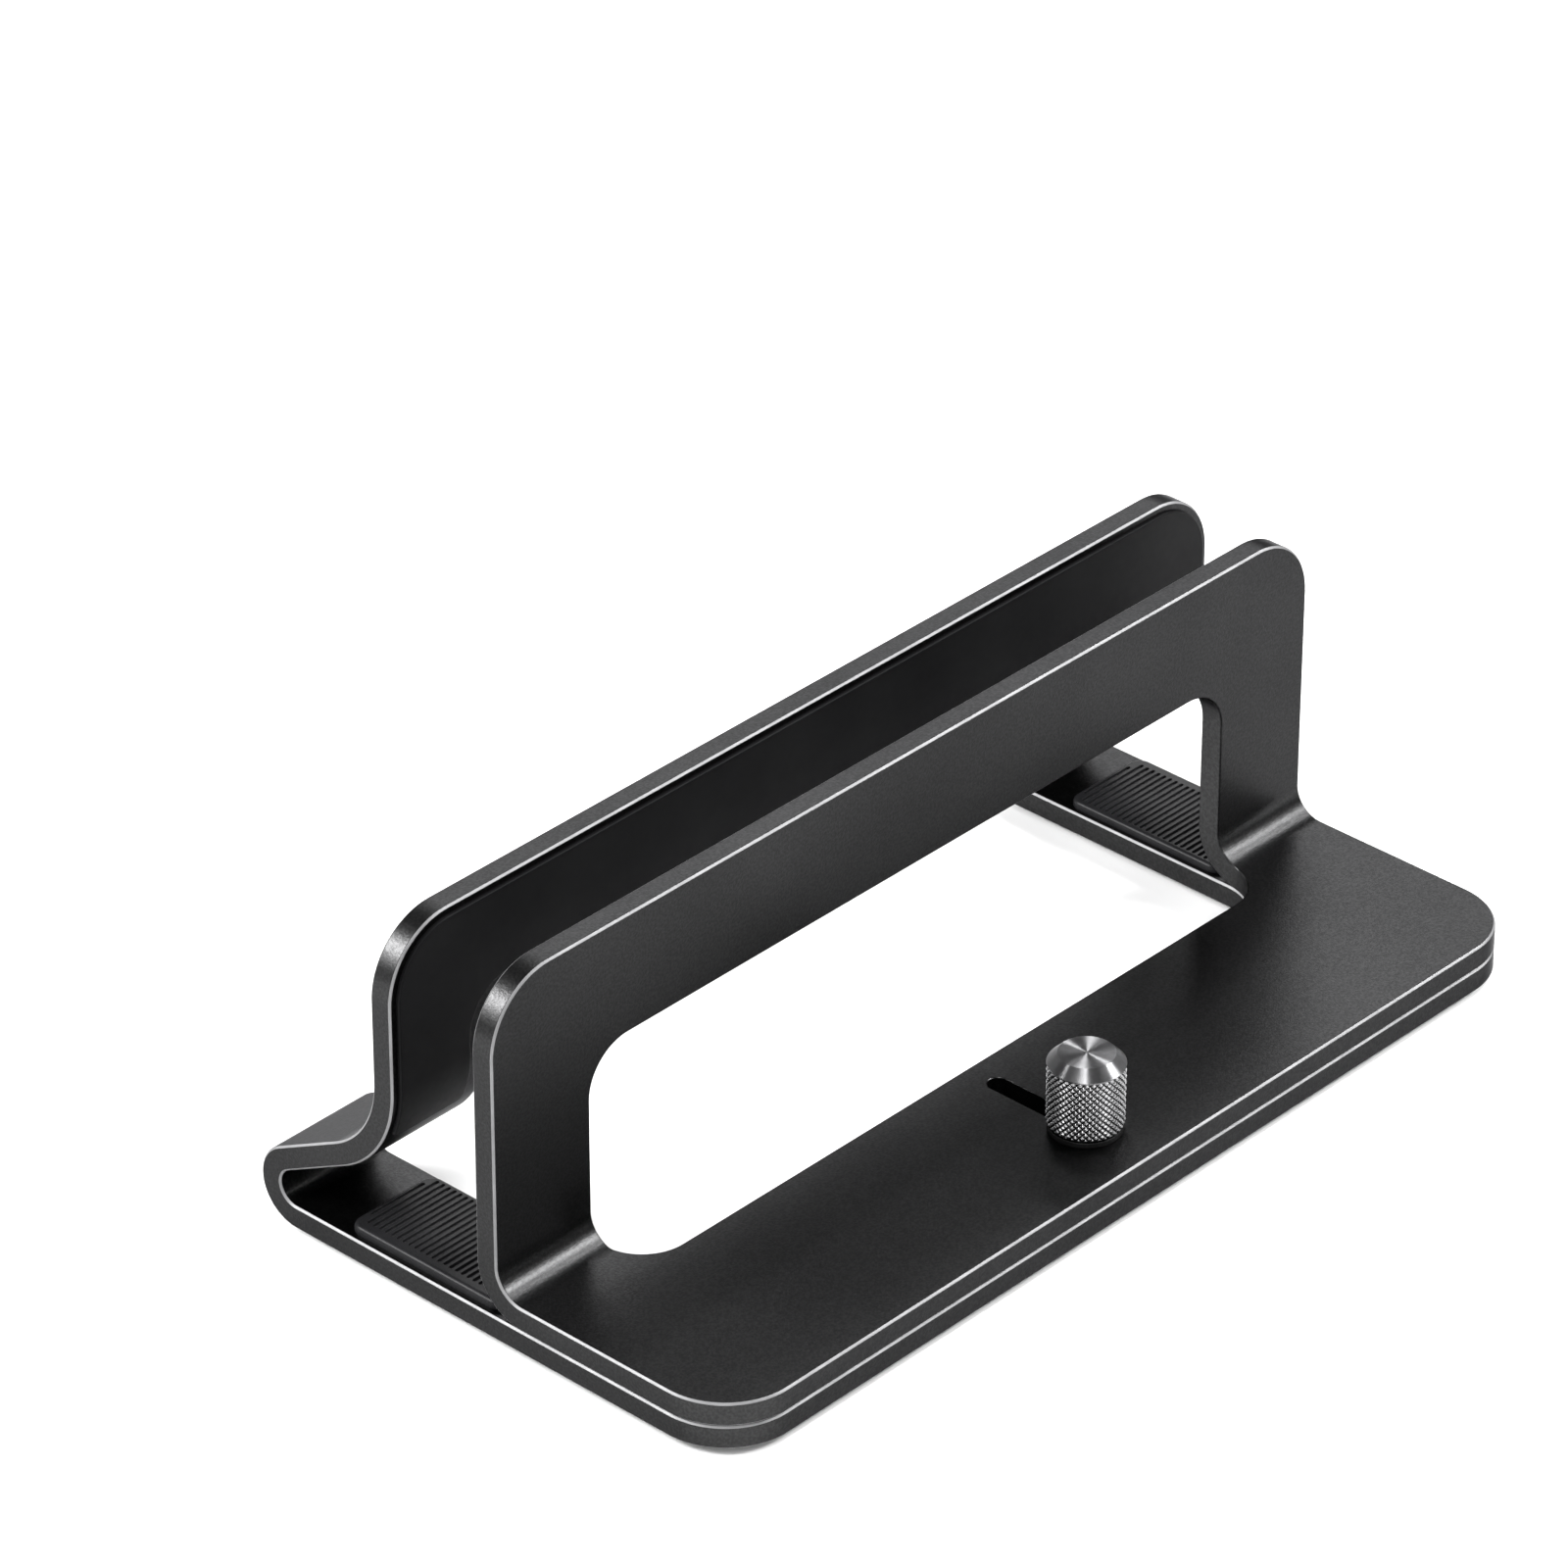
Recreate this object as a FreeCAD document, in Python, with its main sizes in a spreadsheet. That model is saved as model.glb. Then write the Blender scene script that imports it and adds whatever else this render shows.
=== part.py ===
import FreeCAD, Part
import math
import os
import Sketcher

# Vertical laptop stand: a folded base plate whose rear end rises as the fixed jaw, and an L-shaped
# front jaw that slides on it and is held by one thumbscrew. All lengths are in millimetres.
# Every sub-part is drawn in one construction frame: X from the middle of the stand, Y from the front
# edge towards the rear, Z from the underside of the base plate. The Placement of each sub-part then
# moves it to the stand's own frame: origin on the ground under the middle, +Z up.

doc = FreeCAD.newDocument("laptop_stand")
V = FreeCAD.Vector

# ---------------------------------------------------------------- dimensions
CELLS = [
    ("plate_len", 180.0, "length of both plates along X"),
    ("plate_thk", 4.0, "sheet thickness of both plates"),
    ("stand_depth", 94.5, "front edge to the back of the fold"),
    ("jaw_height", 60.0, "top of both jaws above the base underside"),
    ("corner_rad", 12.0, "outer corner radius of both plates"),
    ("edge_bevel", 0.5, "bevel along every plate edge"),
    ("win_half", 70.25, "half length of the windows"),
    ("win_rad", 8.0, "window corner radius"),
    ("win_front", 35.4, "front edge of the windows in the flat plates"),
    ("win_top", 40.0, "upper edge of the windows in the jaws"),
    ("fold_in", 3.0, "inside radius of the rear fold"),
    ("fold_y", 87.5, "centre line of the rear fold"),
    ("fold_slope", 28.0, "slope of the return above the base"),
    ("sweep_mid", 18.0, "middle radius of the sweep into the rear jaw"),
    ("rear_face", 66.25, "front face of the rear jaw"),
    ("ell_in", 4.8, "inside radius of the front jaw's bend"),
    ("front_face", 45.9, "front face of the front jaw"),
    ("screw_y", 12.1, "thumbscrew axis"),
    ("slot_width", 3.4, "adjusting slot width"),
    ("slot_front", 12.1, "front end centre of the adjusting slot"),
    ("slot_rear", 29.3, "rear end centre of the adjusting slot"),
    ("tap_rad", 1.55, "threaded hole in the base, plain"),
    ("stud_rad", 1.5, "thumbscrew stud radius"),
    ("stud_low", 0.6, "lower end of the stud"),
    ("stud_high", 17.0, "upper end of the stud inside the knob"),
    ("knob_rad", 6.0, "knob radius over the knurl"),
    ("knob_low", 9.0, "underside of the knob"),
    ("knob_high", 21.4, "top of the knob"),
    ("knob_cone", 1.65, "bevel at the top of the knob"),
    ("washer_rad", 5.75, "washer radius"),
    ("washer_hole", 1.7, "washer bore radius"),
    ("pin_x", 60.0, "guide pins either side of the middle"),
    ("pin_y", 10.0, "guide pins from the front edge"),
    ("pin_rad", 1.5, "guide pin radius"),
    ("pin_deep", 3.4, "guide pin seat depth in the base"),
    ("pin_proud", 1.8, "guide pin height above the base"),
    ("guide_deep", 2.2, "depth of the blind guide grooves"),
    ("guide_width", 3.12, "width of the blind guide grooves"),
    ("travel_len", 17.0, "slide of the front jaw"),
    ("skin_thk", 0.6, "jaw pad thickness"),
    ("skin_edge", 1.3, "jaw pad set in from the jaw's outer edge"),
    ("skin_win", 74.4, "half length of the jaw pad's window"),
    ("skin_win_top", 44.0, "upper edge of the jaw pad's window"),
    ("skin_turn", 27.0, "angle of the sweep that the rear pad covers"),
    ("skin_front_low", 14.0, "lower end of the front jaw's pad"),
    ("mat_thk", 1.3, "floor mat thickness"),
    ("mat_x_in", 71.35, "floor mat, inner side"),
    ("mat_x_out", 88.75, "floor mat, outer side"),
    ("mat_front", 46.4, "floor mat, front end"),
    ("mat_rear", 77.75, "floor mat, rear end"),
    ("mat_rad", 2.3, "floor mat corner radius"),
    ("rib_pitch", 1.2, "pitch of the mat's grooves"),
    ("rib_width", 0.6, "width of the mat's grooves"),
    ("rib_deep", 0.5, "depth of the mat's grooves"),
    ("rib_first", 75.36, "rearmost full groove"),
    ("rib_x_in", 72.3, "groove ends, inner side"),
    ("rib_x_out", 86.9, "groove ends, outer side"),
    ("rib_short", 76.56, "short rearmost groove"),
    ("rib_short_trim", 1.8, "how much shorter its ends are"),
    ("foot_thk", 1.0, "rubber foot thickness"),
    ("foot_rad", 6.0, "rubber foot radius"),
    ("foot_x_front", 76.0, "front feet from the middle"),
    ("foot_y_front", 12.5, "front feet from the front edge"),
    ("foot_x_rear", 80.1, "rear feet from the middle"),
    ("foot_y_rear", 79.0, "rear feet from the front edge"),
]
sheet = doc.addObject("Spreadsheet::Sheet", "Dims")
D = {}
for row, (alias, value, note) in enumerate(CELLS, start=1):
    sheet.set("A%d" % row, note)
    sheet.set("B%d" % row, repr(value))
    sheet.setAlias("B%d" % row, alias)
    D[alias] = value
doc.recompute()

T = D["plate_thk"]
HALF = D["plate_len"] / 2.0


# ---------------------------------------------------------------- helpers
def body(name):
    b = doc.addObject("PartDesign::Body", name)
    b.Label = name
    b.Placement = FreeCAD.Placement(V(0, -D["stand_depth"] / 2.0, D["foot_thk"]), FreeCAD.Rotation())
    b.setExpression("Placement.Base.y", "-Dims.stand_depth / 2")
    b.setExpression("Placement.Base.z", "Dims.foot_thk")
    return b


def sketch(b, name, role, lift=None):
    """An empty sketch on one of the body's origin planes, lifted along that plane's normal."""
    plane = [f for f in b.Origin.OriginFeatures if f.Role == role][0]
    sk = b.newObject("Sketcher::SketchObject", name)
    sk.AttachmentSupport = [(plane, "")]
    sk.MapMode = "FlatFace"
    if lift is not None:
        sk.setExpression("AttachmentOffset.Base.z", lift)
    return sk


def bind(sk, index, expression):
    sk.setExpression("Constraints[%d]" % index, expression)


def line(sk, a, c):
    return sk.addGeometry(Part.LineSegment(V(a[0], a[1], 0), V(c[0], c[1], 0)), False)


def arc(sk, centre, radius, a0, a1):
    circle = Part.Circle(V(centre[0], centre[1], 0), V(0, 0, 1), radius)
    return sk.addGeometry(Part.ArcOfCircle(circle, math.radians(a0), math.radians(a1)), False)


def add(sk, *args):
    return sk.addConstraint(Sketcher.Constraint(*args))


def datum(sk, expression, *args):
    """A dimension of the sketch, bound to the sheet."""
    index = add(sk, *args)
    bind(sk, index, expression)
    return index


def rounded(sk, x0, y0, x1, y1, r, ex0, ey0, ex1, ey1, er):
    """Rounded rectangle with its four sides and its radius bound to the sheet."""
    g = [
        line(sk, (x0 + r, y0), (x1 - r, y0)),
        arc(sk, (x1 - r, y0 + r), r, -90, 0),
        line(sk, (x1, y0 + r), (x1, y1 - r)),
        arc(sk, (x1 - r, y1 - r), r, 0, 90),
        line(sk, (x1 - r, y1), (x0 + r, y1)),
        arc(sk, (x0 + r, y1 - r), r, 90, 180),
        line(sk, (x0, y1 - r), (x0, y0 + r)),
        arc(sk, (x0 + r, y0 + r), r, 180, 270),
    ]
    add(sk, "Tangent", g[0], 2, g[1], 1)
    add(sk, "Tangent", g[1], 2, g[2], 1)
    add(sk, "Tangent", g[2], 2, g[3], 1)
    add(sk, "Tangent", g[3], 2, g[4], 1)
    add(sk, "Tangent", g[4], 2, g[5], 1)
    add(sk, "Tangent", g[5], 2, g[6], 1)
    add(sk, "Tangent", g[6], 2, g[7], 1)
    add(sk, "Tangent", g[7], 2, g[0], 1)
    add(sk, "Horizontal", g[0])
    add(sk, "Vertical", g[2])
    add(sk, "Horizontal", g[4])
    add(sk, "Vertical", g[6])
    add(sk, "Equal", g[1], g[3])
    add(sk, "Equal", g[3], g[5])
    add(sk, "Equal", g[5], g[7])
    datum(sk, er, "Radius", g[1], r)
    datum(sk, ex0, "DistanceX", -1, 1, g[6], 1, x0)
    datum(sk, ex1, "DistanceX", -1, 1, g[2], 1, x1)
    datum(sk, ey0, "DistanceY", -1, 1, g[0], 1, y0)
    datum(sk, ey1, "DistanceY", -1, 1, g[4], 1, y1)
    return g


def stadium(sk, cx, y0, y1, r, ecx, ey0, ey1, er):
    """Slot along Y with round ends."""
    g = [
        arc(sk, (cx, y1), r, 0, 180),
        line(sk, (cx - r, y1), (cx - r, y0)),
        arc(sk, (cx, y0), r, 180, 360),
        line(sk, (cx + r, y0), (cx + r, y1)),
    ]
    add(sk, "Tangent", g[0], 2, g[1], 1)
    add(sk, "Tangent", g[1], 2, g[2], 1)
    add(sk, "Tangent", g[2], 2, g[3], 1)
    add(sk, "Tangent", g[3], 2, g[0], 1)
    add(sk, "Vertical", g[1])
    datum(sk, er, "Radius", g[0], r)
    if cx:
        datum(sk, ecx, "DistanceX", -1, 1, g[0], 3, cx)
    else:
        add(sk, "PointOnObject", g[0], 3, -2)
    datum(sk, ey0, "DistanceY", -1, 1, g[2], 3, y0)
    datum(sk, ey1, "DistanceY", -1, 1, g[0], 3, y1)
    return g


def disc(sk, cx, cy, r, ecx, ecy, er):
    g = sk.addGeometry(Part.Circle(V(cx, cy, 0), V(0, 0, 1), r), False)
    datum(sk, er, "Radius", g, r)
    if cx:
        datum(sk, ecx, "DistanceX", -1, 1, g, 3, cx)
    else:
        add(sk, "PointOnObject", g, 3, -2)
    if cy:
        datum(sk, ecy, "DistanceY", -1, 1, g, 3, cy)
    else:
        add(sk, "PointOnObject", g, 3, -1)
    return g


def pad(b, sk, name, expression, value):
    f = b.newObject("PartDesign::Pad", name)
    f.Profile = sk
    f.Length = value
    f.setExpression("Length", expression)
    doc.recompute()
    return f


def pocket(b, sk, name, value, expression=None, reverse=False):
    """A pocket, checked to have taken something away."""
    before = b.Shape.Volume
    f = b.newObject("PartDesign::Pocket", name)
    f.Profile = sk
    f.Length = value
    if expression:
        f.setExpression("Length", expression)
    f.Reversed = reverse
    doc.recompute()
    if not b.Shape.Volume < before - 0.05:
        raise RuntimeError("%s cuts nothing" % name)
    return f


def edges(shape, test):
    return ["Edge%d" % (i + 1) for i, e in enumerate(shape.Edges) if test(e)]


def ends(e):
    p = [v.Point for v in e.Vertexes]
    return p if len(p) == 2 else [p[0], p[0]]


def corner(shape, x, y, z, fixed):
    """The short edges across the sheet at the outline's corners: fixed names the two coordinates given."""
    def test(e):
        a, c = ends(e)
        for k in fixed:
            want = {"x": x, "y": y, "z": z}[k]
            if abs(abs(getattr(a, k)) - want) > 1e-4 or abs(abs(getattr(c, k)) - want) > 1e-4:
                return False
        return e.Length < T + 0.01
    return edges(shape, test)


def sharp(shape, keep):
    """Edges where two faces meet at more than 40 degrees."""
    found = []
    for i, e in enumerate(shape.Edges):
        faces = shape.ancestorsOfType(e, Part.Face)
        if len(faces) != 2 or not keep(e):
            continue
        mid = e.valueAt((e.FirstParameter + e.LastParameter) / 2.0)
        n = []
        for f in faces:
            u, w = f.Surface.parameter(mid)
            n.append(f.normalAt(u, w))
        if n[0].getAngle(n[1]) > math.radians(40):
            found.append("Edge%d" % (i + 1))
    return found


def dress(b, kind, name, base, names, value, expression):
    if not names:
        raise RuntimeError("%s has no edges" % name)
    f = b.newObject("PartDesign::" + kind, name)
    f.Base = (base, names)
    prop = "Radius" if kind == "Fillet" else "Size"
    setattr(f, prop, value)
    f.setExpression(prop, expression)
    doc.recompute()
    if not f.isValid():
        raise RuntimeError("%s failed on %d edges" % (name, len(names)))
    return f


SUBPARTS = []

# ---------------------------------------------------------------- base plate
# One sheet: flat base, rear fold, sloping return, wide sweep and the upright rear jaw. One long
# window runs through the base, the fold and the lower half of the jaw, so two legs carry the jaw.
slope = D["fold_slope"]
turn = math.radians(90.0 - slope)
nx, nz = math.cos(turn), math.sin(turn)
FI, FO = D["fold_in"], D["fold_in"] + T
SI, SO = D["sweep_mid"] - T / 2.0, D["sweep_mid"] + T / 2.0
fy, fz = D["fold_y"], FO
sy = D["rear_face"] + SO
# the sweep's centre lies where both faces of the return touch the fold and the sweep
sz = fz + ((D["sweep_mid"] + (FI + FO) / 2.0) - nx * (sy - fy)) / nz

base = body("base_plate")
sk = sketch(base, "base_profile", "YZ_Plane", "-Dims.plate_len / 2")
top = D["jaw_height"]
g = [
    line(sk, (0, 0), (fy, 0)),
    arc(sk, (fy, fz), FO, -90, 90 - slope),
    line(sk, (fy + FO * nx, fz + FO * nz), (sy - SI * nx, sz - SI * nz)),
    arc(sk, (sy, sz), SI, 180, 270 - slope),
    line(sk, (sy - SI, sz), (sy - SI, top)),
    line(sk, (sy - SI, top), (sy - SO, top)),
    line(sk, (sy - SO, top), (sy - SO, sz)),
    arc(sk, (sy, sz), SO, 180, 270 - slope),
    line(sk, (sy - SO * nx, sz - SO * nz), (fy + FI * nx, fz + FI * nz)),
    arc(sk, (fy, fz), FI, -90, 90 - slope),
    line(sk, (fy, T), (0, T)),
    line(sk, (0, T), (0, 0)),
]
add(sk, "Coincident", g[0], 1, -1, 1)
add(sk, "Horizontal", g[0])
add(sk, "Tangent", g[0], 2, g[1], 1)
add(sk, "Tangent", g[1], 2, g[2], 1)
add(sk, "Tangent", g[2], 2, g[3], 2)
add(sk, "Tangent", g[3], 1, g[4], 1)
add(sk, "Vertical", g[4])
add(sk, "Coincident", g[4], 2, g[5], 1)
add(sk, "Horizontal", g[5])
add(sk, "Coincident", g[5], 2, g[6], 1)
add(sk, "Tangent", g[6], 2, g[7], 1)
add(sk, "Tangent", g[7], 2, g[8], 1)
add(sk, "Tangent", g[8], 2, g[9], 2)
add(sk, "Tangent", g[9], 1, g[10], 1)
add(sk, "Coincident", g[10], 2, g[11], 1)
add(sk, "Coincident", g[11], 2, g[0], 1)
add(sk, "Vertical", g[11])
add(sk, "Coincident", g[1], 3, g[9], 3)
add(sk, "Coincident", g[3], 3, g[7], 3)
datum(sk, "Dims.fold_in + Dims.plate_thk", "Radius", g[1], FO)
datum(sk, "Dims.fold_in", "Radius", g[9], FI)
datum(sk, "Dims.sweep_mid - Dims.plate_thk / 2", "Radius", g[3], SI)
datum(sk, "Dims.sweep_mid + Dims.plate_thk / 2", "Radius", g[7], SO)
datum(sk, "Dims.fold_y", "DistanceX", -1, 1, g[1], 3, fy)
datum(sk, "Dims.rear_face + Dims.sweep_mid + Dims.plate_thk / 2", "DistanceX", -1, 1, g[3], 3, sy)
datum(sk, "Dims.jaw_height", "DistanceY", -1, 1, g[4], 2, top)
datum(sk, "180 - Dims.fold_slope", "Angle", g[2], math.radians(180.0 - slope))
doc.recompute()
plate = pad(base, sk, "base_sheet", "Dims.plate_len", D["plate_len"])

names = corner(base.Tip.Shape, HALF, 0.0, None, "xy") + corner(base.Tip.Shape, HALF, None, top, "xz")
corners = dress(base, "Fillet", "base_corners", plate, names, D["corner_rad"], "Dims.corner_rad")

sk = sketch(base, "base_window_flat", "XY_Plane", "Dims.win_top - Dims.win_rad")
rounded(sk, -D["win_half"], D["win_front"], D["win_half"], 110.0, D["win_rad"],
        "-Dims.win_half", "Dims.win_front", "Dims.win_half", "Dims.stand_depth + 15.5", "Dims.win_rad")
doc.recompute()
pocket(base, sk, "base_window", D["win_top"] + 1.0, "Dims.win_top + 1")

sk = sketch(base, "jaw_window_upright", "XZ_Plane", "-(Dims.rear_face - 6)")
rounded(sk, -D["win_half"], 12.0, D["win_half"], D["win_top"], D["win_rad"],
        "-Dims.win_half", "3 * Dims.plate_thk", "Dims.win_half", "Dims.win_top", "Dims.win_rad")
doc.recompute()
pocket(base, sk, "jaw_window", 20.0, "5 * Dims.plate_thk")


def plate_edge(e):
    """The long outlines, without the holes."""
    a, c = ends(e)
    hole = e.Curve.TypeId == "Part::GeomCircle" and e.Curve.Radius < 2.5 and abs(e.Curve.Axis.z) > 0.9
    slot = abs(a.x) < 2.0 and abs(c.x) < 2.0
    groove = 55.0 < abs(a.x) < 65.0 and 55.0 < abs(c.x) < 65.0
    return not (hole or slot or groove)


bevel = dress(base, "Chamfer", "base_bevel", base.Tip, sharp(base.Tip.Shape, plate_edge), D["edge_bevel"], "Dims.edge_bevel")

sk = sketch(base, "screw_hole", "XY_Plane", "Dims.plate_thk")
disc(sk, 0.0, D["screw_y"], D["tap_rad"], "0", "Dims.screw_y", "Dims.tap_rad")
doc.recompute()
pocket(base, sk, "tapped_hole", T + 1.0, "Dims.plate_thk + 1")

sk = sketch(base, "pin_seats", "XY_Plane", "Dims.plate_thk")
for side in (-1, 1):
    disc(sk, side * D["pin_x"], D["pin_y"], D["pin_rad"], "%d * Dims.pin_x" % side, "Dims.pin_y", "Dims.pin_rad")
doc.recompute()
pocket(base, sk, "pin_holes", D["pin_deep"], "Dims.pin_deep")
SUBPARTS.append(base)

# ---------------------------------------------------------------- front jaw
# One sheet bent once: a foot that slides on the base and an upright jaw, with one window through both.
EI, EO = D["ell_in"], D["ell_in"] + T
back = D["front_face"] + T
ey, ez = back - EO, T + EO
jaw = body("front_jaw")
sk = sketch(jaw, "jaw_profile", "YZ_Plane", "-Dims.plate_len / 2")
g = [
    line(sk, (0, T), (ey, T)),
    arc(sk, (ey, ez), EO, -90, 0),
    line(sk, (back, ez), (back, top)),
    line(sk, (back, top), (back - T, top)),
    line(sk, (back - T, top), (back - T, ez)),
    arc(sk, (ey, ez), EI, -90, 0),
    line(sk, (ey, 2 * T), (0, 2 * T)),
    line(sk, (0, 2 * T), (0, T)),
]
add(sk, "PointOnObject", g[0], 1, -2)
add(sk, "Horizontal", g[0])
add(sk, "Tangent", g[0], 2, g[1], 1)
add(sk, "Tangent", g[1], 2, g[2], 1)
add(sk, "Vertical", g[2])
add(sk, "Coincident", g[2], 2, g[3], 1)
add(sk, "Horizontal", g[3])
add(sk, "Coincident", g[3], 2, g[4], 1)
add(sk, "Tangent", g[4], 2, g[5], 2)
add(sk, "Tangent", g[5], 1, g[6], 1)
add(sk, "Coincident", g[6], 2, g[7], 1)
add(sk, "Coincident", g[7], 2, g[0], 1)
add(sk, "Vertical", g[7])
add(sk, "Vertical", g[4])
add(sk, "Coincident", g[1], 3, g[5], 3)
datum(sk, "Dims.ell_in + Dims.plate_thk", "Radius", g[1], EO)
datum(sk, "Dims.ell_in", "Radius", g[5], EI)
datum(sk, "Dims.plate_thk", "DistanceY", -1, 1, g[0], 1, T)
datum(sk, "Dims.jaw_height", "DistanceY", -1, 1, g[2], 2, top)
datum(sk, "Dims.front_face + Dims.plate_thk", "DistanceX", -1, 1, g[2], 2, back)
doc.recompute()
plate = pad(jaw, sk, "jaw_sheet", "Dims.plate_len", D["plate_len"])

names = corner(jaw.Tip.Shape, HALF, 0.0, None, "xy") + corner(jaw.Tip.Shape, HALF, None, top, "xz")
dress(jaw, "Fillet", "jaw_corners", plate, names, D["corner_rad"], "Dims.corner_rad")

sk = sketch(jaw, "foot_window_flat", "XY_Plane", "Dims.win_top - Dims.win_rad")
rounded(sk, -D["win_half"], D["win_front"], D["win_half"], 110.0, D["win_rad"],
        "-Dims.win_half", "Dims.win_front", "Dims.win_half", "Dims.stand_depth + 15.5", "Dims.win_rad")
doc.recompute()
pocket(jaw, sk, "foot_window", D["win_top"] + 1.0, "Dims.win_top + 1")

sk = sketch(jaw, "front_window_upright", "XZ_Plane", "-(Dims.front_face - 2)")
rounded(sk, -D["win_half"], 12.0, D["win_half"], D["win_top"], D["win_rad"],
        "-Dims.win_half", "3 * Dims.plate_thk", "Dims.win_half", "Dims.win_top", "Dims.win_rad")
doc.recompute()
pocket(jaw, sk, "front_window", 10.0, "2.5 * Dims.plate_thk")

dress(jaw, "Chamfer", "jaw_bevel", jaw.Tip, sharp(jaw.Tip.Shape, plate_edge), D["edge_bevel"], "Dims.edge_bevel")

sk = sketch(jaw, "slot_outline", "XY_Plane", "2 * Dims.plate_thk")
stadium(sk, 0.0, D["slot_front"], D["slot_rear"], D["slot_width"] / 2, "0", "Dims.slot_front", "Dims.slot_rear", "Dims.slot_width / 2")
doc.recompute()
pocket(jaw, sk, "adjusting_slot", T + 1.0, "Dims.plate_thk + 1")


def slot_rim(e):
    a, c = ends(e)
    return abs(a.x) < 2.0 and abs(c.x) < 2.0 and abs(a.z - 2 * T) < 1e-4 and abs(c.z - 2 * T) < 1e-4


dress(jaw, "Chamfer", "slot_bevel", jaw.Tip, sharp(jaw.Tip.Shape, slot_rim), 0.2, "Dims.edge_bevel * 0.4")

sk = sketch(jaw, "guide_outlines", "XY_Plane", "Dims.plate_thk")
for side in (-1, 1):
    stadium(sk, side * D["pin_x"], D["pin_y"], D["pin_y"] + D["travel_len"], D["guide_width"] / 2,
            "%d * Dims.pin_x" % side, "Dims.pin_y", "Dims.pin_y + Dims.travel_len", "Dims.guide_width / 2")
doc.recompute()
pocket(jaw, sk, "guide_grooves", D["guide_deep"], "Dims.guide_deep", True)
SUBPARTS.append(jaw)

# ---------------------------------------------------------------- jaw pads
# Thin skins bonded to the inner faces of the jaws, each an upside-down U around the jaw's window.
skin = D["skin_thk"]
PH = HALF - D["skin_edge"]
rear_pad = body("rear_jaw_pad")
sk = sketch(rear_pad, "rear_skin_profile", "YZ_Plane", "-(Dims.plate_len / 2 - Dims.skin_edge)")
low = math.radians(D["skin_turn"])
ptop = top - D["skin_edge"]
c, s_ = math.cos(low), math.sin(low)
g = [
    line(sk, (sy - SO - skin, sz), (sy - SO - skin, ptop)),
    line(sk, (sy - SO - skin, ptop), (sy - SO, ptop)),
    line(sk, (sy - SO, ptop), (sy - SO, sz)),
    arc(sk, (sy, sz), SO, 180, 180 + D["skin_turn"]),
    line(sk, (sy - SO * c, sz - SO * s_), (sy - (SO + skin) * c, sz - (SO + skin) * s_)),
    arc(sk, (sy, sz), SO + skin, 180, 180 + D["skin_turn"]),
]
add(sk, "Coincident", g[0], 2, g[1], 1)
add(sk, "Coincident", g[1], 2, g[2], 1)
add(sk, "Tangent", g[2], 2, g[3], 1)
add(sk, "Coincident", g[3], 2, g[4], 1)
add(sk, "Coincident", g[4], 2, g[5], 2)
add(sk, "Tangent", g[5], 1, g[0], 1)
add(sk, "Vertical", g[0])
add(sk, "Horizontal", g[1])
add(sk, "Coincident", g[3], 3, g[5], 3)
datum(sk, "Dims.sweep_mid + Dims.plate_thk / 2", "Radius", g[3], SO)
datum(sk, "Dims.sweep_mid + Dims.plate_thk / 2 + Dims.skin_thk", "Radius", g[5], SO + skin)
datum(sk, "Dims.rear_face", "DistanceX", -1, 1, g[2], 1, sy - SO)
datum(sk, "Dims.jaw_height - Dims.skin_edge", "DistanceY", -1, 1, g[2], 1, ptop)
datum(sk, "180 + Dims.skin_turn", "Angle", g[4], math.radians(180.0 + D["skin_turn"]))
add(sk, "DistanceY", -1, 1, g[3], 3, sz)
doc.recompute()
plate = pad(rear_pad, sk, "rear_skin", "Dims.plate_len - 2 * Dims.skin_edge", 2 * PH)

names = corner(rear_pad.Tip.Shape, PH, None, ptop, "xz")
dress(rear_pad, "Fillet", "rear_skin_corners", plate, names, D["corner_rad"] - D["skin_edge"], "Dims.corner_rad - Dims.skin_edge")

sk = sketch(rear_pad, "rear_skin_window", "XZ_Plane", "-(Dims.rear_face - 6)")
rounded(sk, -D["skin_win"], 4.0, D["skin_win"], D["skin_win_top"], D["win_rad"],
        "-Dims.skin_win", "Dims.plate_thk", "Dims.skin_win", "Dims.skin_win_top", "Dims.win_rad")
doc.recompute()
pocket(rear_pad, sk, "rear_skin_cut", 20.0, "5 * Dims.plate_thk")


def toe(e):
    """The short edges across the skin at the lower ends of its legs."""
    return e.Length < 1.2 * skin and e.BoundBox.ZMax < sz


dress(rear_pad, "Fillet", "rear_skin_toes", rear_pad.Tip, edges(rear_pad.Tip.Shape, toe), 1.4, "Dims.skin_edge + 0.1")
SUBPARTS.append(rear_pad)

front_pad = body("front_jaw_pad")
sk = sketch(front_pad, "front_skin_outline", "XZ_Plane", "-(Dims.front_face + Dims.plate_thk + Dims.skin_thk)")
rounded(sk, -PH, D["skin_front_low"], PH, ptop, D["corner_rad"] - D["skin_edge"],
        "-(Dims.plate_len / 2 - Dims.skin_edge)", "Dims.skin_front_low", "Dims.plate_len / 2 - Dims.skin_edge",
        "Dims.jaw_height - Dims.skin_edge", "Dims.corner_rad - Dims.skin_edge")
doc.recompute()
pad(front_pad, sk, "front_skin", "Dims.skin_thk", skin)
sk = sketch(front_pad, "front_skin_window", "XZ_Plane", "-(Dims.front_face + 2)")
rounded(sk, -D["skin_win"], 4.0, D["skin_win"], D["skin_win_top"], D["win_rad"],
        "-Dims.skin_win", "Dims.plate_thk", "Dims.skin_win", "Dims.skin_win_top", "Dims.win_rad")
doc.recompute()
pocket(front_pad, sk, "front_skin_cut", 10.0, "2.5 * Dims.plate_thk")
SUBPARTS.append(front_pad)


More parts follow.
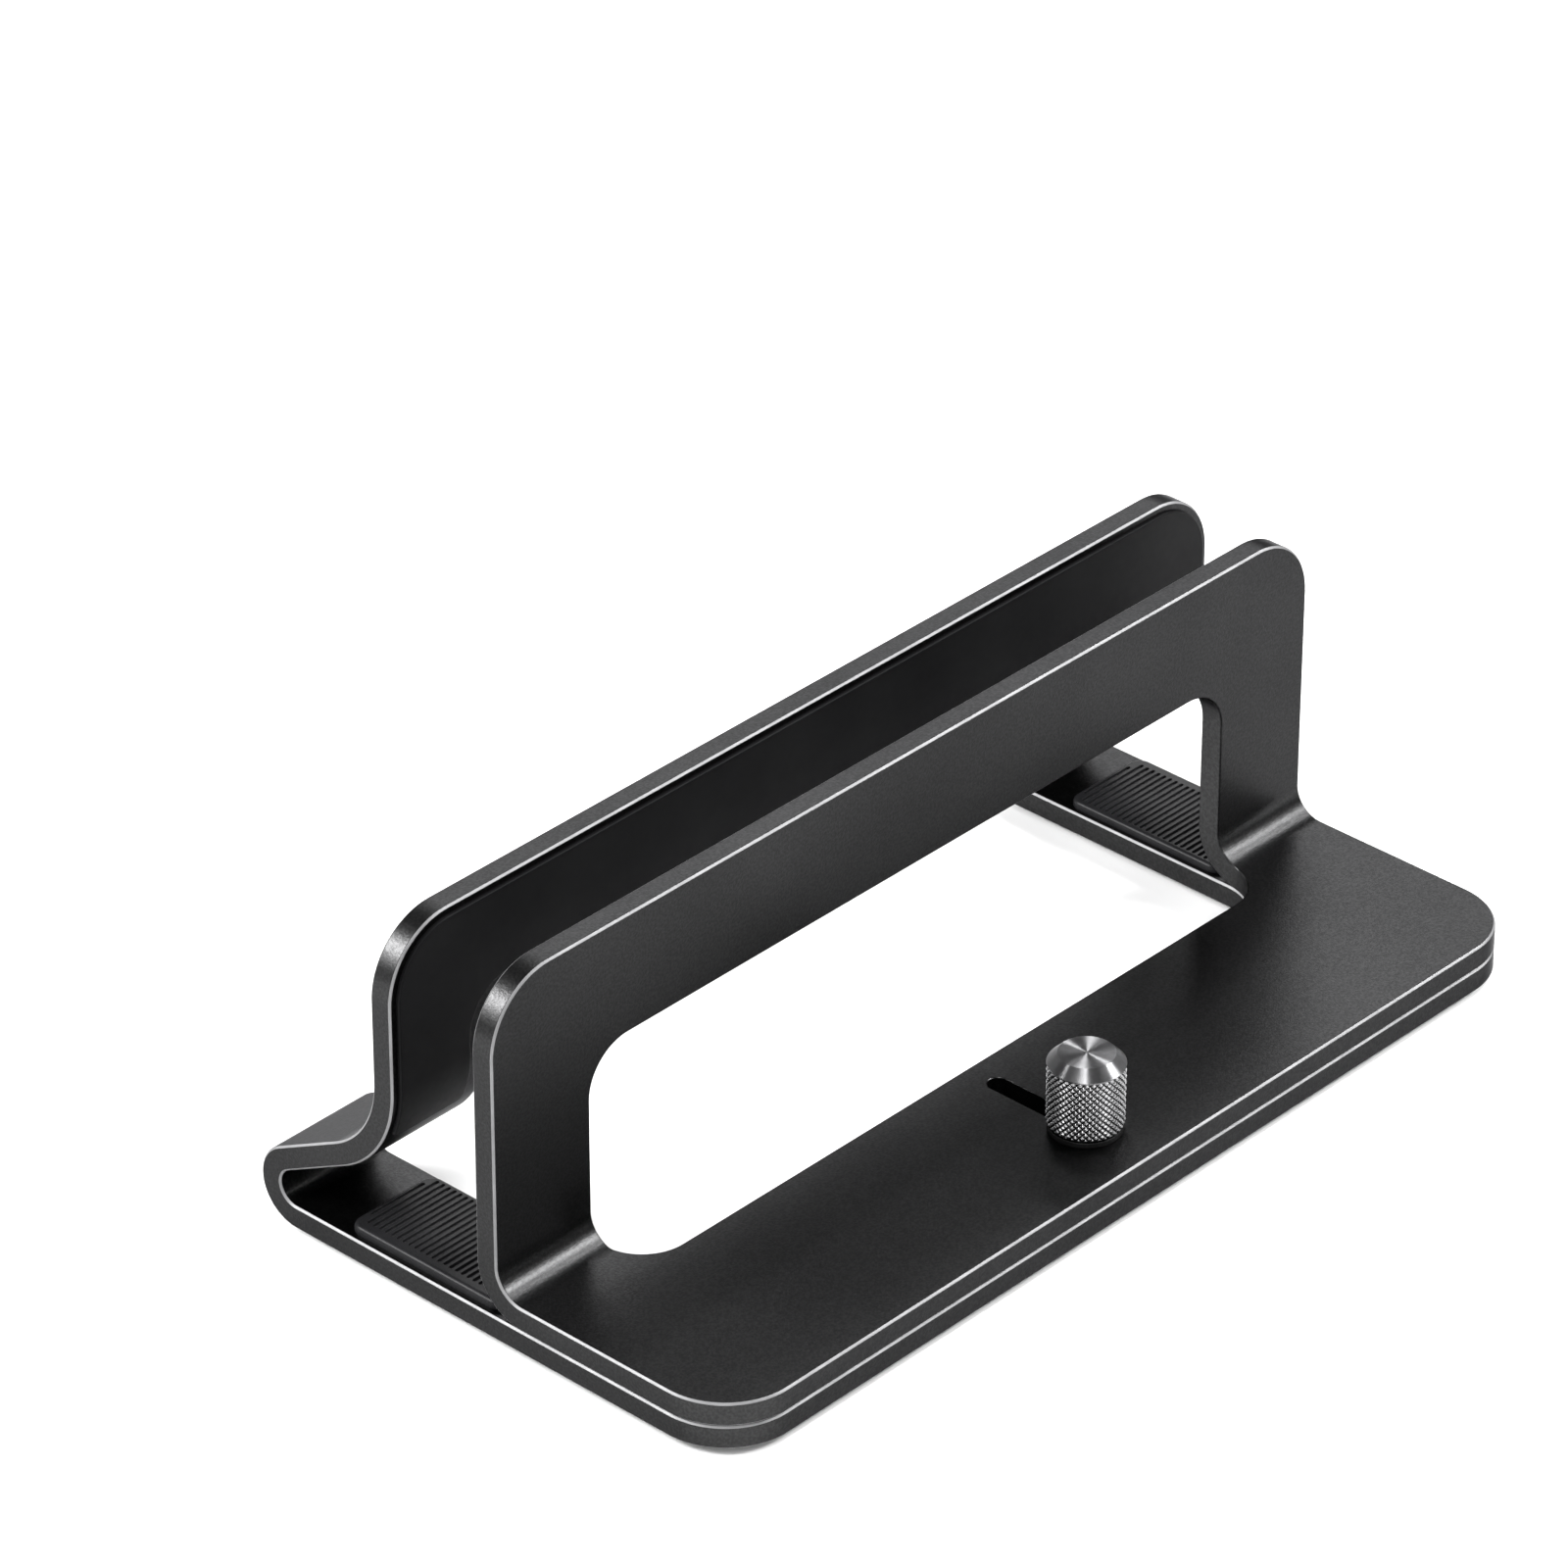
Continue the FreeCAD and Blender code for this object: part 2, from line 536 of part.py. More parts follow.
# ---------------------------------------------------------------- floor mats
# Soft mats on the two strips of the base between the jaws, grooved across the strip.
def mat(name, side):
    b = body(name)
    xa, xb = sorted((side * D["mat_x_in"], side * D["mat_x_out"]))
    ea, eb = ("%d * Dims.mat_x_in" % side, "%d * Dims.mat_x_out" % side)
    if side < 0:
        ea, eb = eb, ea
    sk = sketch(b, name + "_outline", "XY_Plane", "Dims.plate_thk")
    rounded(sk, xa, D["mat_front"], xb, D["mat_rear"], D["mat_rad"], ea, "Dims.mat_front", eb, "Dims.mat_rear", "Dims.mat_rad")
    doc.recompute()
    slab = pad(b, sk, name + "_slab", "Dims.mat_thk", D["mat_thk"])
    rim = edges(slab.Shape, lambda e: abs(e.BoundBox.ZMin - (T + D["mat_thk"])) < 1e-4)
    dress(b, "Fillet", name + "_rim", slab, rim, 0.25, "Dims.mat_thk * 0.1923")

    def groove(label, y, trim, ey_):
        k = b.newObject("Sketcher::SketchObject", label)
        plane = [f for f in b.Origin.OriginFeatures if f.Role == "XY_Plane"][0]
        k.AttachmentSupport = [(plane, "")]
        k.MapMode = "FlatFace"
        k.setExpression("AttachmentOffset.Base.z", "Dims.plate_thk + Dims.mat_thk")
        r = D["rib_width"] / 2.0
        x0, x1 = sorted((side * (D["rib_x_in"] + trim), side * (D["rib_x_out"] - trim)))
        x0, x1 = x0 + r, x1 - r
        q = [
            line(k, (x0, y - r), (x1, y - r)),
            arc(k, (x1, y), r, -90, 90),
            line(k, (x1, y + r), (x0, y + r)),
            arc(k, (x0, y), r, 90, 270),
        ]
        add(k, "Tangent", q[0], 2, q[1], 1)
        add(k, "Tangent", q[1], 2, q[2], 1)
        add(k, "Tangent", q[2], 2, q[3], 1)
        add(k, "Tangent", q[3], 2, q[0], 1)
        add(k, "Horizontal", q[0])
        datum(k, "Dims.rib_width / 2", "Radius", q[1], r)
        inner = "%d * (Dims.rib_x_in + %s * Dims.rib_short_trim + Dims.rib_width / 2)" % (side, "1" if trim else "0")
        outer = "%d * (Dims.rib_x_out - %s * Dims.rib_short_trim - Dims.rib_width / 2)" % (side, "1" if trim else "0")
        left, right = (outer, inner) if side < 0 else (inner, outer)
        datum(k, left, "DistanceX", -1, 1, q[3], 3, x0)
        datum(k, right, "DistanceX", -1, 1, q[1], 3, x1)
        datum(k, ey_, "DistanceY", -1, 1, q[1], 3, y)
        doc.recompute()
        return k

    pocket(b, groove(name + "_short_groove", D["rib_short"], D["rib_short_trim"], "Dims.rib_short"),
           name + "_short_cut", D["rib_deep"], "Dims.rib_deep")
    one = pocket(b, groove(name + "_groove", D["rib_first"], 0.0, "Dims.rib_first"),
                 name + "_cut", D["rib_deep"], "Dims.rib_deep")
    before = b.Shape.Volume
    count = 23
    row = b.newObject("PartDesign::LinearPattern", name + "_grooves")
    row.Originals = [one]
    axis = [f for f in b.Origin.OriginFeatures if f.Role == "Y_Axis"][0]
    row.Direction = (axis, [""])
    row.Reversed = True
    row.Length = D["rib_pitch"] * (count - 1)
    row.setExpression("Length", "Dims.rib_pitch * %d" % (count - 1))
    row.Occurrences = count
    b.Tip = row
    doc.recompute()
    taken = (before - b.Shape.Volume) / (count - 1)
    if not 0.9 * taken > 0.5 * D["rib_width"] * D["rib_deep"] * 10:
        raise RuntimeError("%s: the groove pattern cuts %.2f each" % (name, taken))
    SUBPARTS.append(b)
    return b


mat("floor_mat_left", -1)
mat("floor_mat_right", 1)

# ---------------------------------------------------------------- thumbscrew
knob = body("clamp_knob")
sk = sketch(knob, "knob_section", "XZ_Plane", "-Dims.screw_y")
R, z0, z1, cone = D["knob_rad"], D["knob_low"], D["knob_high"], D["knob_cone"]
foot, br, bz = 0.3, D["stud_rad"], D["stud_high"]
pts = [(br, z0), (R - foot, z0), (R, z0 + foot), (R, z1 - cone), (R - cone, z1), (0, z1), (0, bz), (br, bz)]
g = [line(sk, pts[i], pts[(i + 1) % len(pts)]) for i in range(len(pts))]
for i in range(len(g)):
    add(sk, "Coincident", g[i], 2, g[(i + 1) % len(g)], 1)
add(sk, "Horizontal", g[0])
add(sk, "Vertical", g[2])
add(sk, "Horizontal", g[4])
add(sk, "PointOnObject", g[5], 1, -2)
add(sk, "Vertical", g[5])
add(sk, "Horizontal", g[6])
add(sk, "Vertical", g[7])
datum(sk, "Dims.stud_rad", "DistanceX", -1, 1, g[0], 1, br)
datum(sk, "Dims.knob_low", "DistanceY", -1, 1, g[0], 1, z0)
datum(sk, "Dims.knob_rad", "DistanceX", -1, 1, g[2], 1, R)
datum(sk, "Dims.knob_high", "DistanceY", -1, 1, g[4], 1, z1)
datum(sk, "Dims.stud_high", "DistanceY", -1, 1, g[6], 1, bz)
add(sk, "DistanceX", g[0], 2, g[1], 2, foot)
add(sk, "DistanceY", g[0], 2, g[1], 2, foot)
datum(sk, "Dims.knob_cone", "DistanceY", g[2], 2, g[3], 2, cone)
datum(sk, "Dims.knob_cone", "DistanceX", g[3], 2, g[2], 2, cone)
doc.recompute()
rev = knob.newObject("PartDesign::Revolution", "knob_turned")
rev.Profile = sk
rev.ReferenceAxis = (sk, ["V_Axis"])
rev.Angle = 360.0
doc.recompute()
SUBPARTS.append(knob)


def turned(name, low, high, elow, ehigh, r, er, hole=None, ehole=None):
    """A round part on the thumbscrew's axis."""
    b = body(name)
    k = sketch(b, name + "_outline", "XY_Plane", elow)
    disc(k, 0.0, D["screw_y"], r, "0", "Dims.screw_y", er)
    if hole:
        disc(k, 0.0, D["screw_y"], hole, "0", "Dims.screw_y", ehole)
    doc.recompute()
    pad(b, k, name + "_length", "(%s) - (%s)" % (ehigh, elow), high - low)
    return b


stud = turned("clamp_stud", D["stud_low"], D["stud_high"], "Dims.stud_low", "Dims.stud_high", D["stud_rad"], "Dims.stud_rad")
tip = edges(stud.Tip.Shape, lambda e: e.BoundBox.ZMax < D["stud_low"] + 1e-3)
dress(stud, "Chamfer", "stud_tip", stud.Tip, tip, 0.3, "Dims.stud_rad / 5")
SUBPARTS.append(stud)

washer = turned("clamp_washer", 2 * T, D["knob_low"], "2 * Dims.plate_thk", "Dims.knob_low", D["washer_rad"], "Dims.washer_rad",
                D["washer_hole"], "Dims.washer_hole")
rim = edges(washer.Tip.Shape, lambda e: e.BoundBox.XLength > 2 * D["washer_rad"] - 0.1 and e.BoundBox.ZLength < 1e-3)
dress(washer, "Fillet", "washer_rim", washer.Tip, rim, 0.2, "Dims.washer_rad / 28.75")
SUBPARTS.append(washer)

# ---------------------------------------------------------------- guide pins
for name, side in (("guide_pin_left", -1), ("guide_pin_right", 1)):
    b = body(name)
    k = sketch(b, name + "_outline", "XY_Plane", "Dims.plate_thk - Dims.pin_deep")
    disc(k, side * D["pin_x"], D["pin_y"], D["pin_rad"], "%d * Dims.pin_x" % side, "Dims.pin_y", "Dims.pin_rad")
    doc.recompute()
    pad(b, k, name + "_length", "Dims.pin_deep + Dims.pin_proud", D["pin_deep"] + D["pin_proud"])
    crown = edges(b.Tip.Shape, lambda e: e.BoundBox.ZMin > T + D["pin_proud"] - 1e-3)
    dress(b, "Chamfer", name + "_crown", b.Tip, crown, 0.3, "Dims.pin_rad / 5")
    SUBPARTS.append(b)

# ---------------------------------------------------------------- rubber feet
for name, side, where in (("foot_front_left", -1, "front"), ("foot_front_right", 1, "front"),
                          ("foot_rear_left", -1, "rear"), ("foot_rear_right", 1, "rear")):
    b = body(name)
    k = sketch(b, name + "_outline", "XY_Plane", "-Dims.foot_thk")
    disc(k, side * D["foot_x_" + where], D["foot_y_" + where], D["foot_rad"],
         "%d * Dims.foot_x_%s" % (side, where), "Dims.foot_y_%s" % where, "Dims.foot_rad")
    doc.recompute()
    pad(b, k, name + "_height", "Dims.foot_thk", D["foot_thk"])
    rim = edges(b.Tip.Shape, lambda e: e.BoundBox.ZMax < -D["foot_thk"] + 1e-3)
    dress(b, "Fillet", name + "_rim", b.Tip, rim, 0.3, "Dims.foot_thk * 0.3")
    SUBPARTS.append(b)

# ---------------------------------------------------------------- check and write
doc.recompute()
bad = [o.Name for o in doc.Objects if {"Invalid", "Error"} & set(o.State)]
if bad:
    raise RuntimeError("failed objects: " + ", ".join(bad))
os.makedirs("parts", exist_ok=True)
for b in SUBPARTS:
    shape = b.Shape
    if shape.isNull() or not shape.isValid() or len(shape.Solids) != 1:
        raise RuntimeError("%s has no single valid solid" % b.Label)
for b in SUBPARTS:
    b.Shape.exportStep("parts/%s.step" % b.Label)
    box = b.Shape.BoundBox
    print("%-18s %9.2f mm3  X %.2f..%.2f  Y %.2f..%.2f  Z %.2f..%.2f" % (
        b.Label, b.Shape.Volume, box.XMin, box.XMax, box.YMin, box.YMax, box.ZMin, box.ZMax))
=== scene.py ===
import math

import bpy
import numpy as np
from mathutils import Euler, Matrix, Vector, geometry


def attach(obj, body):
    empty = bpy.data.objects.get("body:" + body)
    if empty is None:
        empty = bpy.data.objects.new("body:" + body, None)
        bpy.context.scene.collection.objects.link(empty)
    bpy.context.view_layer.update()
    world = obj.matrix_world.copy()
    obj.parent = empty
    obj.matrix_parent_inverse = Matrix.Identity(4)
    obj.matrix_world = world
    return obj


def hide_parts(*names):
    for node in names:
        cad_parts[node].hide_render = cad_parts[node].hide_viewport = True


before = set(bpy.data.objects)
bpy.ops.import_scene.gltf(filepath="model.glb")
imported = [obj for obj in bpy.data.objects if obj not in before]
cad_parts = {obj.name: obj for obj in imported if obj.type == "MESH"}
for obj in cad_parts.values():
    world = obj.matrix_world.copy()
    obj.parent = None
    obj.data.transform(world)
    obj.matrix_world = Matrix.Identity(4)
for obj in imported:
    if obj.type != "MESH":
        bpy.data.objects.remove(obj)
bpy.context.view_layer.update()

# Vertical laptop stand. Lengths below are millimetres in a construction frame: X from the middle, Y from the
# front edge towards the rear, Z from the underside of the base plate. place() brings them to the row frame.
DEPTH = 94.5
FOOT = 1.0
T = 4.0
H = T / 2.0


def place(p):
    p = np.asarray(p, float)
    return (p + np.array([0.0, -DEPTH / 2.0, FOOT])) / 1000.0


# ---------------------------------------------------------------- mesh helpers
class Soup:
    """Collects points with their own normals, and faces that name them."""

    def __init__(self):
        self.co, self.no, self.faces, self.mats = [], [], [], []

    def add(self, points, normals):
        first = len(self.co)
        self.co.extend(np.asarray(points, float).reshape(-1, 3))
        self.no.extend(np.asarray(normals, float).reshape(-1, 3))
        return list(range(first, len(self.co)))

    def face(self, ids, mat=0):
        ids = [i for k, i in enumerate(ids) if i != ids[k - 1]]
        if len(ids) > 2:
            self.faces.append(ids)
            self.mats.append(mat)

    def build(self, name, materials):
        co, no = np.array(self.co), np.array(self.no)
        no = no / np.maximum(np.linalg.norm(no, axis=1), 1e-12)[:, None]
        out = []
        for ids in self.faces:
            p = co[ids]
            q = np.roll(p, -1, axis=0)
            area = np.cross(p, q).sum(axis=0)
            out.append(ids if area @ no[ids].sum(axis=0) >= 0 else ids[::-1])
        me = bpy.data.meshes.new(name)
        me.from_pydata([tuple(v) for v in place(co)], [], out)
        for m in materials:
            me.materials.append(m)
        me.polygons.foreach_set("material_index", np.array(self.mats, np.int32))
        me.polygons.foreach_set("use_smooth", np.ones(len(out), bool))
        me.update()
        me.normals_split_custom_set_from_vertices([tuple(v) for v in no])
        ob = bpy.data.objects.new(name, me)
        bpy.context.scene.collection.objects.link(ob)
        return ob


class Bend:
    """Middle line of a bent sheet in the YZ plane: straight runs and arcs, read by the length s along it."""

    def __init__(self, start, runs):
        self.parts, s, y, z, h = [], 0.0, start[0], start[1], 0.0
        for kind, a, b in runs:
            if kind == "line":
                self.parts.append(("line", s, s + a, y, z, h, 0.0, 0.0))
                y, z, s = y + a * math.cos(h), z + a * math.sin(h), s + a
            else:
                k = math.copysign(1.0, b)
                cy, cz = y - a * k * math.sin(h), z + a * k * math.cos(h)
                length = a * abs(b)
                self.parts.append(("arc", s, s + length, cy, cz, h, a, k))
                h += b
                y, z, s = cy + a * k * math.sin(h), cz - a * k * math.cos(h), s + length
        self.total = s

    def at(self, s, w):
        """Places (y, z), directions along the sheet and directions of growing w."""
        s, w = np.atleast_1d(np.asarray(s, float)), np.atleast_1d(np.asarray(w, float))
        s, w = np.broadcast_arrays(s, w)
        pos, tan, nor = np.zeros((len(s), 2)), np.zeros((len(s), 2)), np.zeros((len(s), 2))
        for i, (kind, a, b, y, z, h, r, k) in enumerate(self.parts):
            pick = (s >= a) if i else np.ones(len(s), bool)
            if i < len(self.parts) - 1:
                pick = pick & (s < b)
            if not pick.any():
                continue
            u = s[pick] - a
            if kind == "line":
                t = np.tile([math.cos(h), math.sin(h)], (pick.sum(), 1))
                mid = np.array([y, z]) + u[:, None] * t
            else:
                g = h + k * u / r
                t = np.stack([np.cos(g), np.sin(g)], 1)
                mid = np.stack([y + r * k * np.sin(g), z - r * k * np.cos(g)], 1)
            n = np.stack([-t[:, 1], t[:, 0]], 1)
            pos[pick], tan[pick], nor[pick] = mid + w[pick][:, None] * n, t, n
        return pos, tan, nor

    def levels(self, step):
        """Values of s across every arc, about step radians apart."""
        out = []
        for kind, a, b, y, z, h, r, k in self.parts:
            if kind == "arc":
                n = max(2, int(math.ceil((b - a) / r / step)))
                out += list(np.linspace(a, b, n + 1))
        return sorted(set(round(v, 9) for v in out))


def outline(corners, levels, d0, arc=20):
    """Points (x, s, nx, ns) round a closed outline with the material on the left, every corner rounded by its radius.
    Levels that cross it at the distance d0 inside the material get a point of their own."""
    n, out = len(corners), []
    P = [np.array(c[:2], float) for c in corners]
    R = [c[2] for c in corners]
    starts, arcs = [], []
    for i in range(n):
        a, b, c = P[i - 1], P[i], P[(i + 1) % n]
        u, v = (b - a) / np.linalg.norm(b - a), (c - b) / np.linalg.norm(c - b)
        turn = math.atan2(u[0] * v[1] - u[1] * v[0], u @ v)
        cut = R[i] * abs(math.tan(turn / 2))
        side = math.copysign(1.0, turn)
        centre = b - u * cut + side * R[i] * np.array([-u[1], u[0]])
        arcs.append((centre, side, math.atan2(-side * u[0], side * u[1]), turn, R[i]))
        starts.append((b - u * cut, b + v * cut, u, v))
    for i in range(n):
        centre, side, a0, turn, r = arcs[i]
        count = max(3, int(round(arc * abs(turn) / (math.pi / 2))))
        ts = list(np.linspace(0, 1, count + 1))
        off = r - side * d0
        for L in levels:
            q = (L - centre[1]) / off if off > 1e-9 else 9
            if abs(q) < 1:
                for ang in (math.asin(q), math.pi - math.asin(q)):
                    t = ((ang - a0 + (math.pi if turn < 0 else -math.pi) * 0) % (2 * math.pi))
                    t = t / turn if turn > 0 else (t - 2 * math.pi) / turn
                    if 1e-6 < t < 1 - 1e-6:
                        ts.append(t)
        ts = sorted(ts)
        ts = [t for k, t in enumerate(ts) if k == 0 or t - ts[k - 1] > 1e-6]
        for t in ts:
            g = a0 + turn * t
            d = np.array([math.cos(g), math.sin(g)])
            out.append((*(centre + r * d), *(side * d)))
        p, q = starts[i][1], starts[(i + 1) % n][0]
        v = starts[i][3]
        nrm = np.array([v[1], -v[0]])
        if abs(v[1]) > 1e-9:
            inner = [(L - p[1]) / (q[1] - p[1]) for L in levels if abs(q[1] - p[1]) > 1e-9]
        else:
            inner = [k / 8 for k in range(1, 8)]
        for t in sorted(t for t in inner if 1e-6 < t < 1 - 1e-6):
            out.append((*(p + (q - p) * t), *nrm))
    clean = [out[0]]
    for o in out[1:]:
        if math.hypot(o[0] - clean[-1][0], o[1] - clean[-1][1]) > 1e-6:
            clean.append(o)
    if math.hypot(clean[0][0] - clean[-1][0], clean[0][1] - clean[-1][1]) < 1e-6:
        clean.pop()
    return np.array(clean)


def bevelled(c, rho, half_up, half_low, steps=4, low=True):
    """Section (d, w, angle, material) of an edge with a bevel c whose two lips are rounded by rho."""
    t = rho * math.tan(math.radians(22.5))
    rows = []
    for k, a in enumerate(np.linspace(90, 45, steps + 1)):
        g = math.radians(a)
        rows.append((c + t - rho * math.cos(g), half_up - rho + rho * math.sin(g), g, 1 if k >= steps - 2 else 0))
    for k, a in enumerate(np.linspace(45, 0, steps + 1)):
        g = math.radians(a)
        rows.append((rho - rho * math.cos(g), half_up - c - t + rho * math.sin(g), g, 1 if k < 2 else 0))
    if low:
        n = len(rows)
        marks = [m for d, w, g, m in rows][:-1]
        rows += [(d, half_up + half_low - w, -g, 0) for d, w, g, m in reversed(rows)]
        for i, m in enumerate(reversed(marks)):
            rows[n + i] = (*rows[n + i][:3], m)
    return rows


def rounded_lip(r, up, low, steps=5):
    """Section of a skin's edge: one round lip above, straight side below."""
    rows = []
    for a in np.linspace(90, 0, steps + 1):
        g = math.radians(a)
        rows.append((r - r * math.cos(g), up - r + r * math.sin(g), g, 0))
    rows.append((0.0, low, 0.0, 0))
    return rows


def pocket(width_r, up, depth, lip=0.09, toe=0.1, steps=3):
    """Section of a blind groove seen from its outline: lip, wall, toe. d is negative inside the groove."""
    rows = []
    for a in np.linspace(90, 0, steps + 1):
        g = math.radians(a)
        rows.append((lip - lip * math.cos(g), up - lip + lip * math.sin(g), g, 0))
    for a in np.linspace(0, 90, steps + 1):
        g = math.radians(a)
        rows.append((-(toe - toe * math.cos(g)), up - depth + toe - toe * math.sin(g), g, 0))
    return rows


class Sheet:
    """A flat or bent sheet built from outlines, sections and caps."""

    def __init__(self, bend, levels):
        self.bend, self.levels, self.soup = bend, levels, Soup()

    def points(self, x, s, w, nx, ns, nw):
        pos, tan, nor = self.bend.at(s, w)
        x = np.atleast_1d(x)
        p = np.column_stack([x, pos])
        nx, ns, nw = (np.broadcast_to(np.atleast_1d(v), x.shape) for v in (nx, ns, nw))
        n = np.column_stack([nx, ns[:, None] * tan + nw[:, None] * nor])
        return self.soup.add(p, n)

    def band(self, loop, rows):
        """Skins one outline with a section. Returns the vertex ids of its first and last ring."""
        rings = []
        for d, w, g, m in rows:
            c, s = math.cos(g), math.sin(g)
            rings.append(self.points(loop[:, 0] - d * loop[:, 2], loop[:, 1] - d * loop[:, 3], np.full(len(loop), w),
                                     c * loop[:, 2], c * loop[:, 3], s))
        for k in range(len(rows) - 1):
            a, b = rings[k], rings[k + 1]
            for i in range(len(loop)):
                j = (i + 1) % len(loop)
                self.soup.face([a[i], a[j], b[j], b[i]], rows[k][3])
        return rings[0], rings[-1]

    def cap(self, rings, loops, d, w, sign, mat=0):
        """Fills the face between rings, which share their vertices with it."""
        pts, ids, edges = [], [], []
        for ring, loop, dd in zip(rings, loops, d):
            first = len(pts)
            for k, i in enumerate(ring):
                pts.append((loop[k, 0] - dd * loop[k, 2], loop[k, 1] - dd * loop[k, 3]))
                ids.append(i)
            edges += [(first + k, first + (k + 1) % len(ring)) for k in range(len(ring))]
        arr = np.array(pts)
        for L in self.levels:
            near = [k for k in range(len(arr)) if abs(arr[k, 1] - L) < 1e-6]
            near.sort(key=lambda k: arr[k, 0])
            for a, b in zip(near[::2], near[1::2]):
                if arr[b, 0] - arr[a, 0] > 1e-6:
                    edges.append((a, b))
        res = geometry.delaunay_2d_cdt([Vector(p) for p in pts], edges, [], 1, 1e-7)
        verts, _, faces, origin = res[0], res[1], res[2], res[3]
        back = []
        for v, o in zip(verts, origin):
            if o:
                back.append(ids[o[0]])
            else:
                back += self.points([v[0]], [v[1]], [w], [0.0], [0.0], [sign])
        mid = np.array([[sum(verts[k][c] for k in f) / len(f) for c in (0, 1)] for f in faces])
        odd = np.zeros(len(mid), bool)
        first = 0
        for ring in rings:
            q = arr[first:first + len(ring)]
            first += len(ring)
            for a, b in zip(q, np.roll(q, -1, axis=0)):
                if a[1] != b[1]:
                    crosses = (a[1] > mid[:, 1]) != (b[1] > mid[:, 1])
                    odd ^= crosses & (mid[:, 0] < (b[0] - a[0]) * (mid[:, 1] - a[1]) / (b[1] - a[1]) + a[0])
        for f, keep in zip(faces, odd):
            if keep:
                self.soup.face([back[k] for k in f], mat)


def rect(x0, s0, x1, s1, r, hole=False):
    rs = r if isinstance(r, (list, tuple)) else [r] * 4
    c = [(x0, s0, rs[0]), (x1, s0, rs[1]), (x1, s1, rs[2]), (x0, s1, rs[3])]
    return c[::-1] if hole else c


def disc(x, s, r, n=40, hole=True):
    a = np.linspace(0, 2 * math.pi, n, endpoint=False)
    if hole:
        a = -a
    k = -1.0 if hole else 1.0
    return np.column_stack([x + r * np.cos(a), s + r * np.sin(a), k * np.cos(a), k * np.sin(a)])


def stadium(x0, s0, x1, s1, r, n=12):
    """Hole outline: a groove with round ends whose centres are given, along X or along s."""
    g = math.atan2(s1 - s0, x1 - x0)
    a = np.concatenate([np.linspace(g + math.pi / 2, g - math.pi / 2, n + 1), np.linspace(g - math.pi / 2, g - 3 * math.pi / 2, n + 1)])
    cx = np.concatenate([np.full(n + 1, x1), np.full(n + 1, x0)])
    cs = np.concatenate([np.full(n + 1, s1), np.full(n + 1, s0)])
    return np.column_stack([cx + r * np.cos(a), cs + r * np.sin(a), -np.cos(a), -np.sin(a)])


# ---------------------------------------------------------------- node helpers for materials
def new_material(name):
    m = bpy.data.materials.new(name)
    m.use_nodes = True
    nt = m.node_tree
    nt.nodes.clear()
    out = nt.nodes.new("ShaderNodeOutputMaterial")
    bsdf = nt.nodes.new("ShaderNodeBsdfPrincipled")
    nt.links.new(bsdf.outputs["BSDF"], out.inputs["Surface"])
    return m, nt, bsdf


def node(nt, kind, **values):
    n = nt.nodes.new(kind)
    for k, v in values.items():
        if k in n.inputs.keys():
            n.inputs[k].default_value = v
        else:
            setattr(n, k, v)
    return n


def coords(nt, scale=(1, 1, 1)):
    tc = node(nt, "ShaderNodeTexCoord")
    mp = node(nt, "ShaderNodeMapping")
    mp.inputs["Scale"].default_value = scale
    nt.links.new(tc.outputs["Object"], mp.inputs["Vector"])
    return mp.outputs["Vector"]


def noise(nt, vec, scale, detail=2.0, rough=0.5):
    n = node(nt, "ShaderNodeTexNoise")
    n.inputs["Scale"].default_value = scale
    n.inputs["Detail"].default_value = detail
    n.inputs["Roughness"].default_value = rough
    nt.links.new(vec, n.inputs["Vector"])
    return n.outputs["Fac"]


def ramp(nt, fac, stops):
    r = node(nt, "ShaderNodeValToRGB")
    e = r.color_ramp.elements
    while len(e) < len(stops):
        e.new(0.5)
    for k, (p, c) in enumerate(stops):
        e[k].position = p
        e[k].color = (c, c, c, 1) if isinstance(c, (int, float)) else (*c, 1)
    nt.links.new(fac, r.inputs["Fac"])
    return r.outputs["Color"]


def spread(nt, fac, lo, hi):
    m = node(nt, "ShaderNodeMapRange")
    m.inputs["To Min"].default_value = lo
    m.inputs["To Max"].default_value = hi
    nt.links.new(fac, m.inputs["Value"])
    return m.outputs["Result"]


def bump(nt, height, strength, distance, normal=None):
    b = node(nt, "ShaderNodeBump")
    b.inputs["Strength"].default_value = strength
    b.inputs["Distance"].default_value = distance
    nt.links.new(height, b.inputs["Height"])
    if normal is not None:
        nt.links.new(normal, b.inputs["Normal"])
    return b.outputs["Normal"]


# Bead-blasted, anodised dark grey sheet: fine even grain, faint cloudiness in colour and gloss.
PLATE_LO, PLATE_HI = (0.039, 0.039, 0.0395), (0.049, 0.049, 0.0495)
plate_mat, nt, bsdf = new_material("blasted_dark_anodised")
vec = coords(nt)
grain = noise(nt, vec, 3200, 2.0, 0.6)
fine = noise(nt, vec, 1500, 3.0, 0.6)
cloud = noise(nt, vec, 26, 3.0, 0.5)
speck = node(nt, "ShaderNodeVectorMath", operation="MULTIPLY")
nt.links.new(ramp(nt, cloud, [(0.3, PLATE_LO), (0.7, PLATE_HI)]), speck.inputs[0])
nt.links.new(ramp(nt, noise(nt, vec, 2300, 1.0, 0.5), [(0.36, 0.74), (0.66, 1.0)]), speck.inputs[1])
nt.links.new(speck.outputs["Vector"], bsdf.inputs["Base Color"])
nt.links.new(spread(nt, fine, 0.27, 0.37), bsdf.inputs["Roughness"])
bsdf.inputs["Metallic"].default_value = 1.0
nt.links.new(bump(nt, grain, 0.50, 0.00005), bsdf.inputs["Normal"])
bsdf.inputs["Specular Tint"].default_value = (0.48, 0.48, 0.485, 1.0)

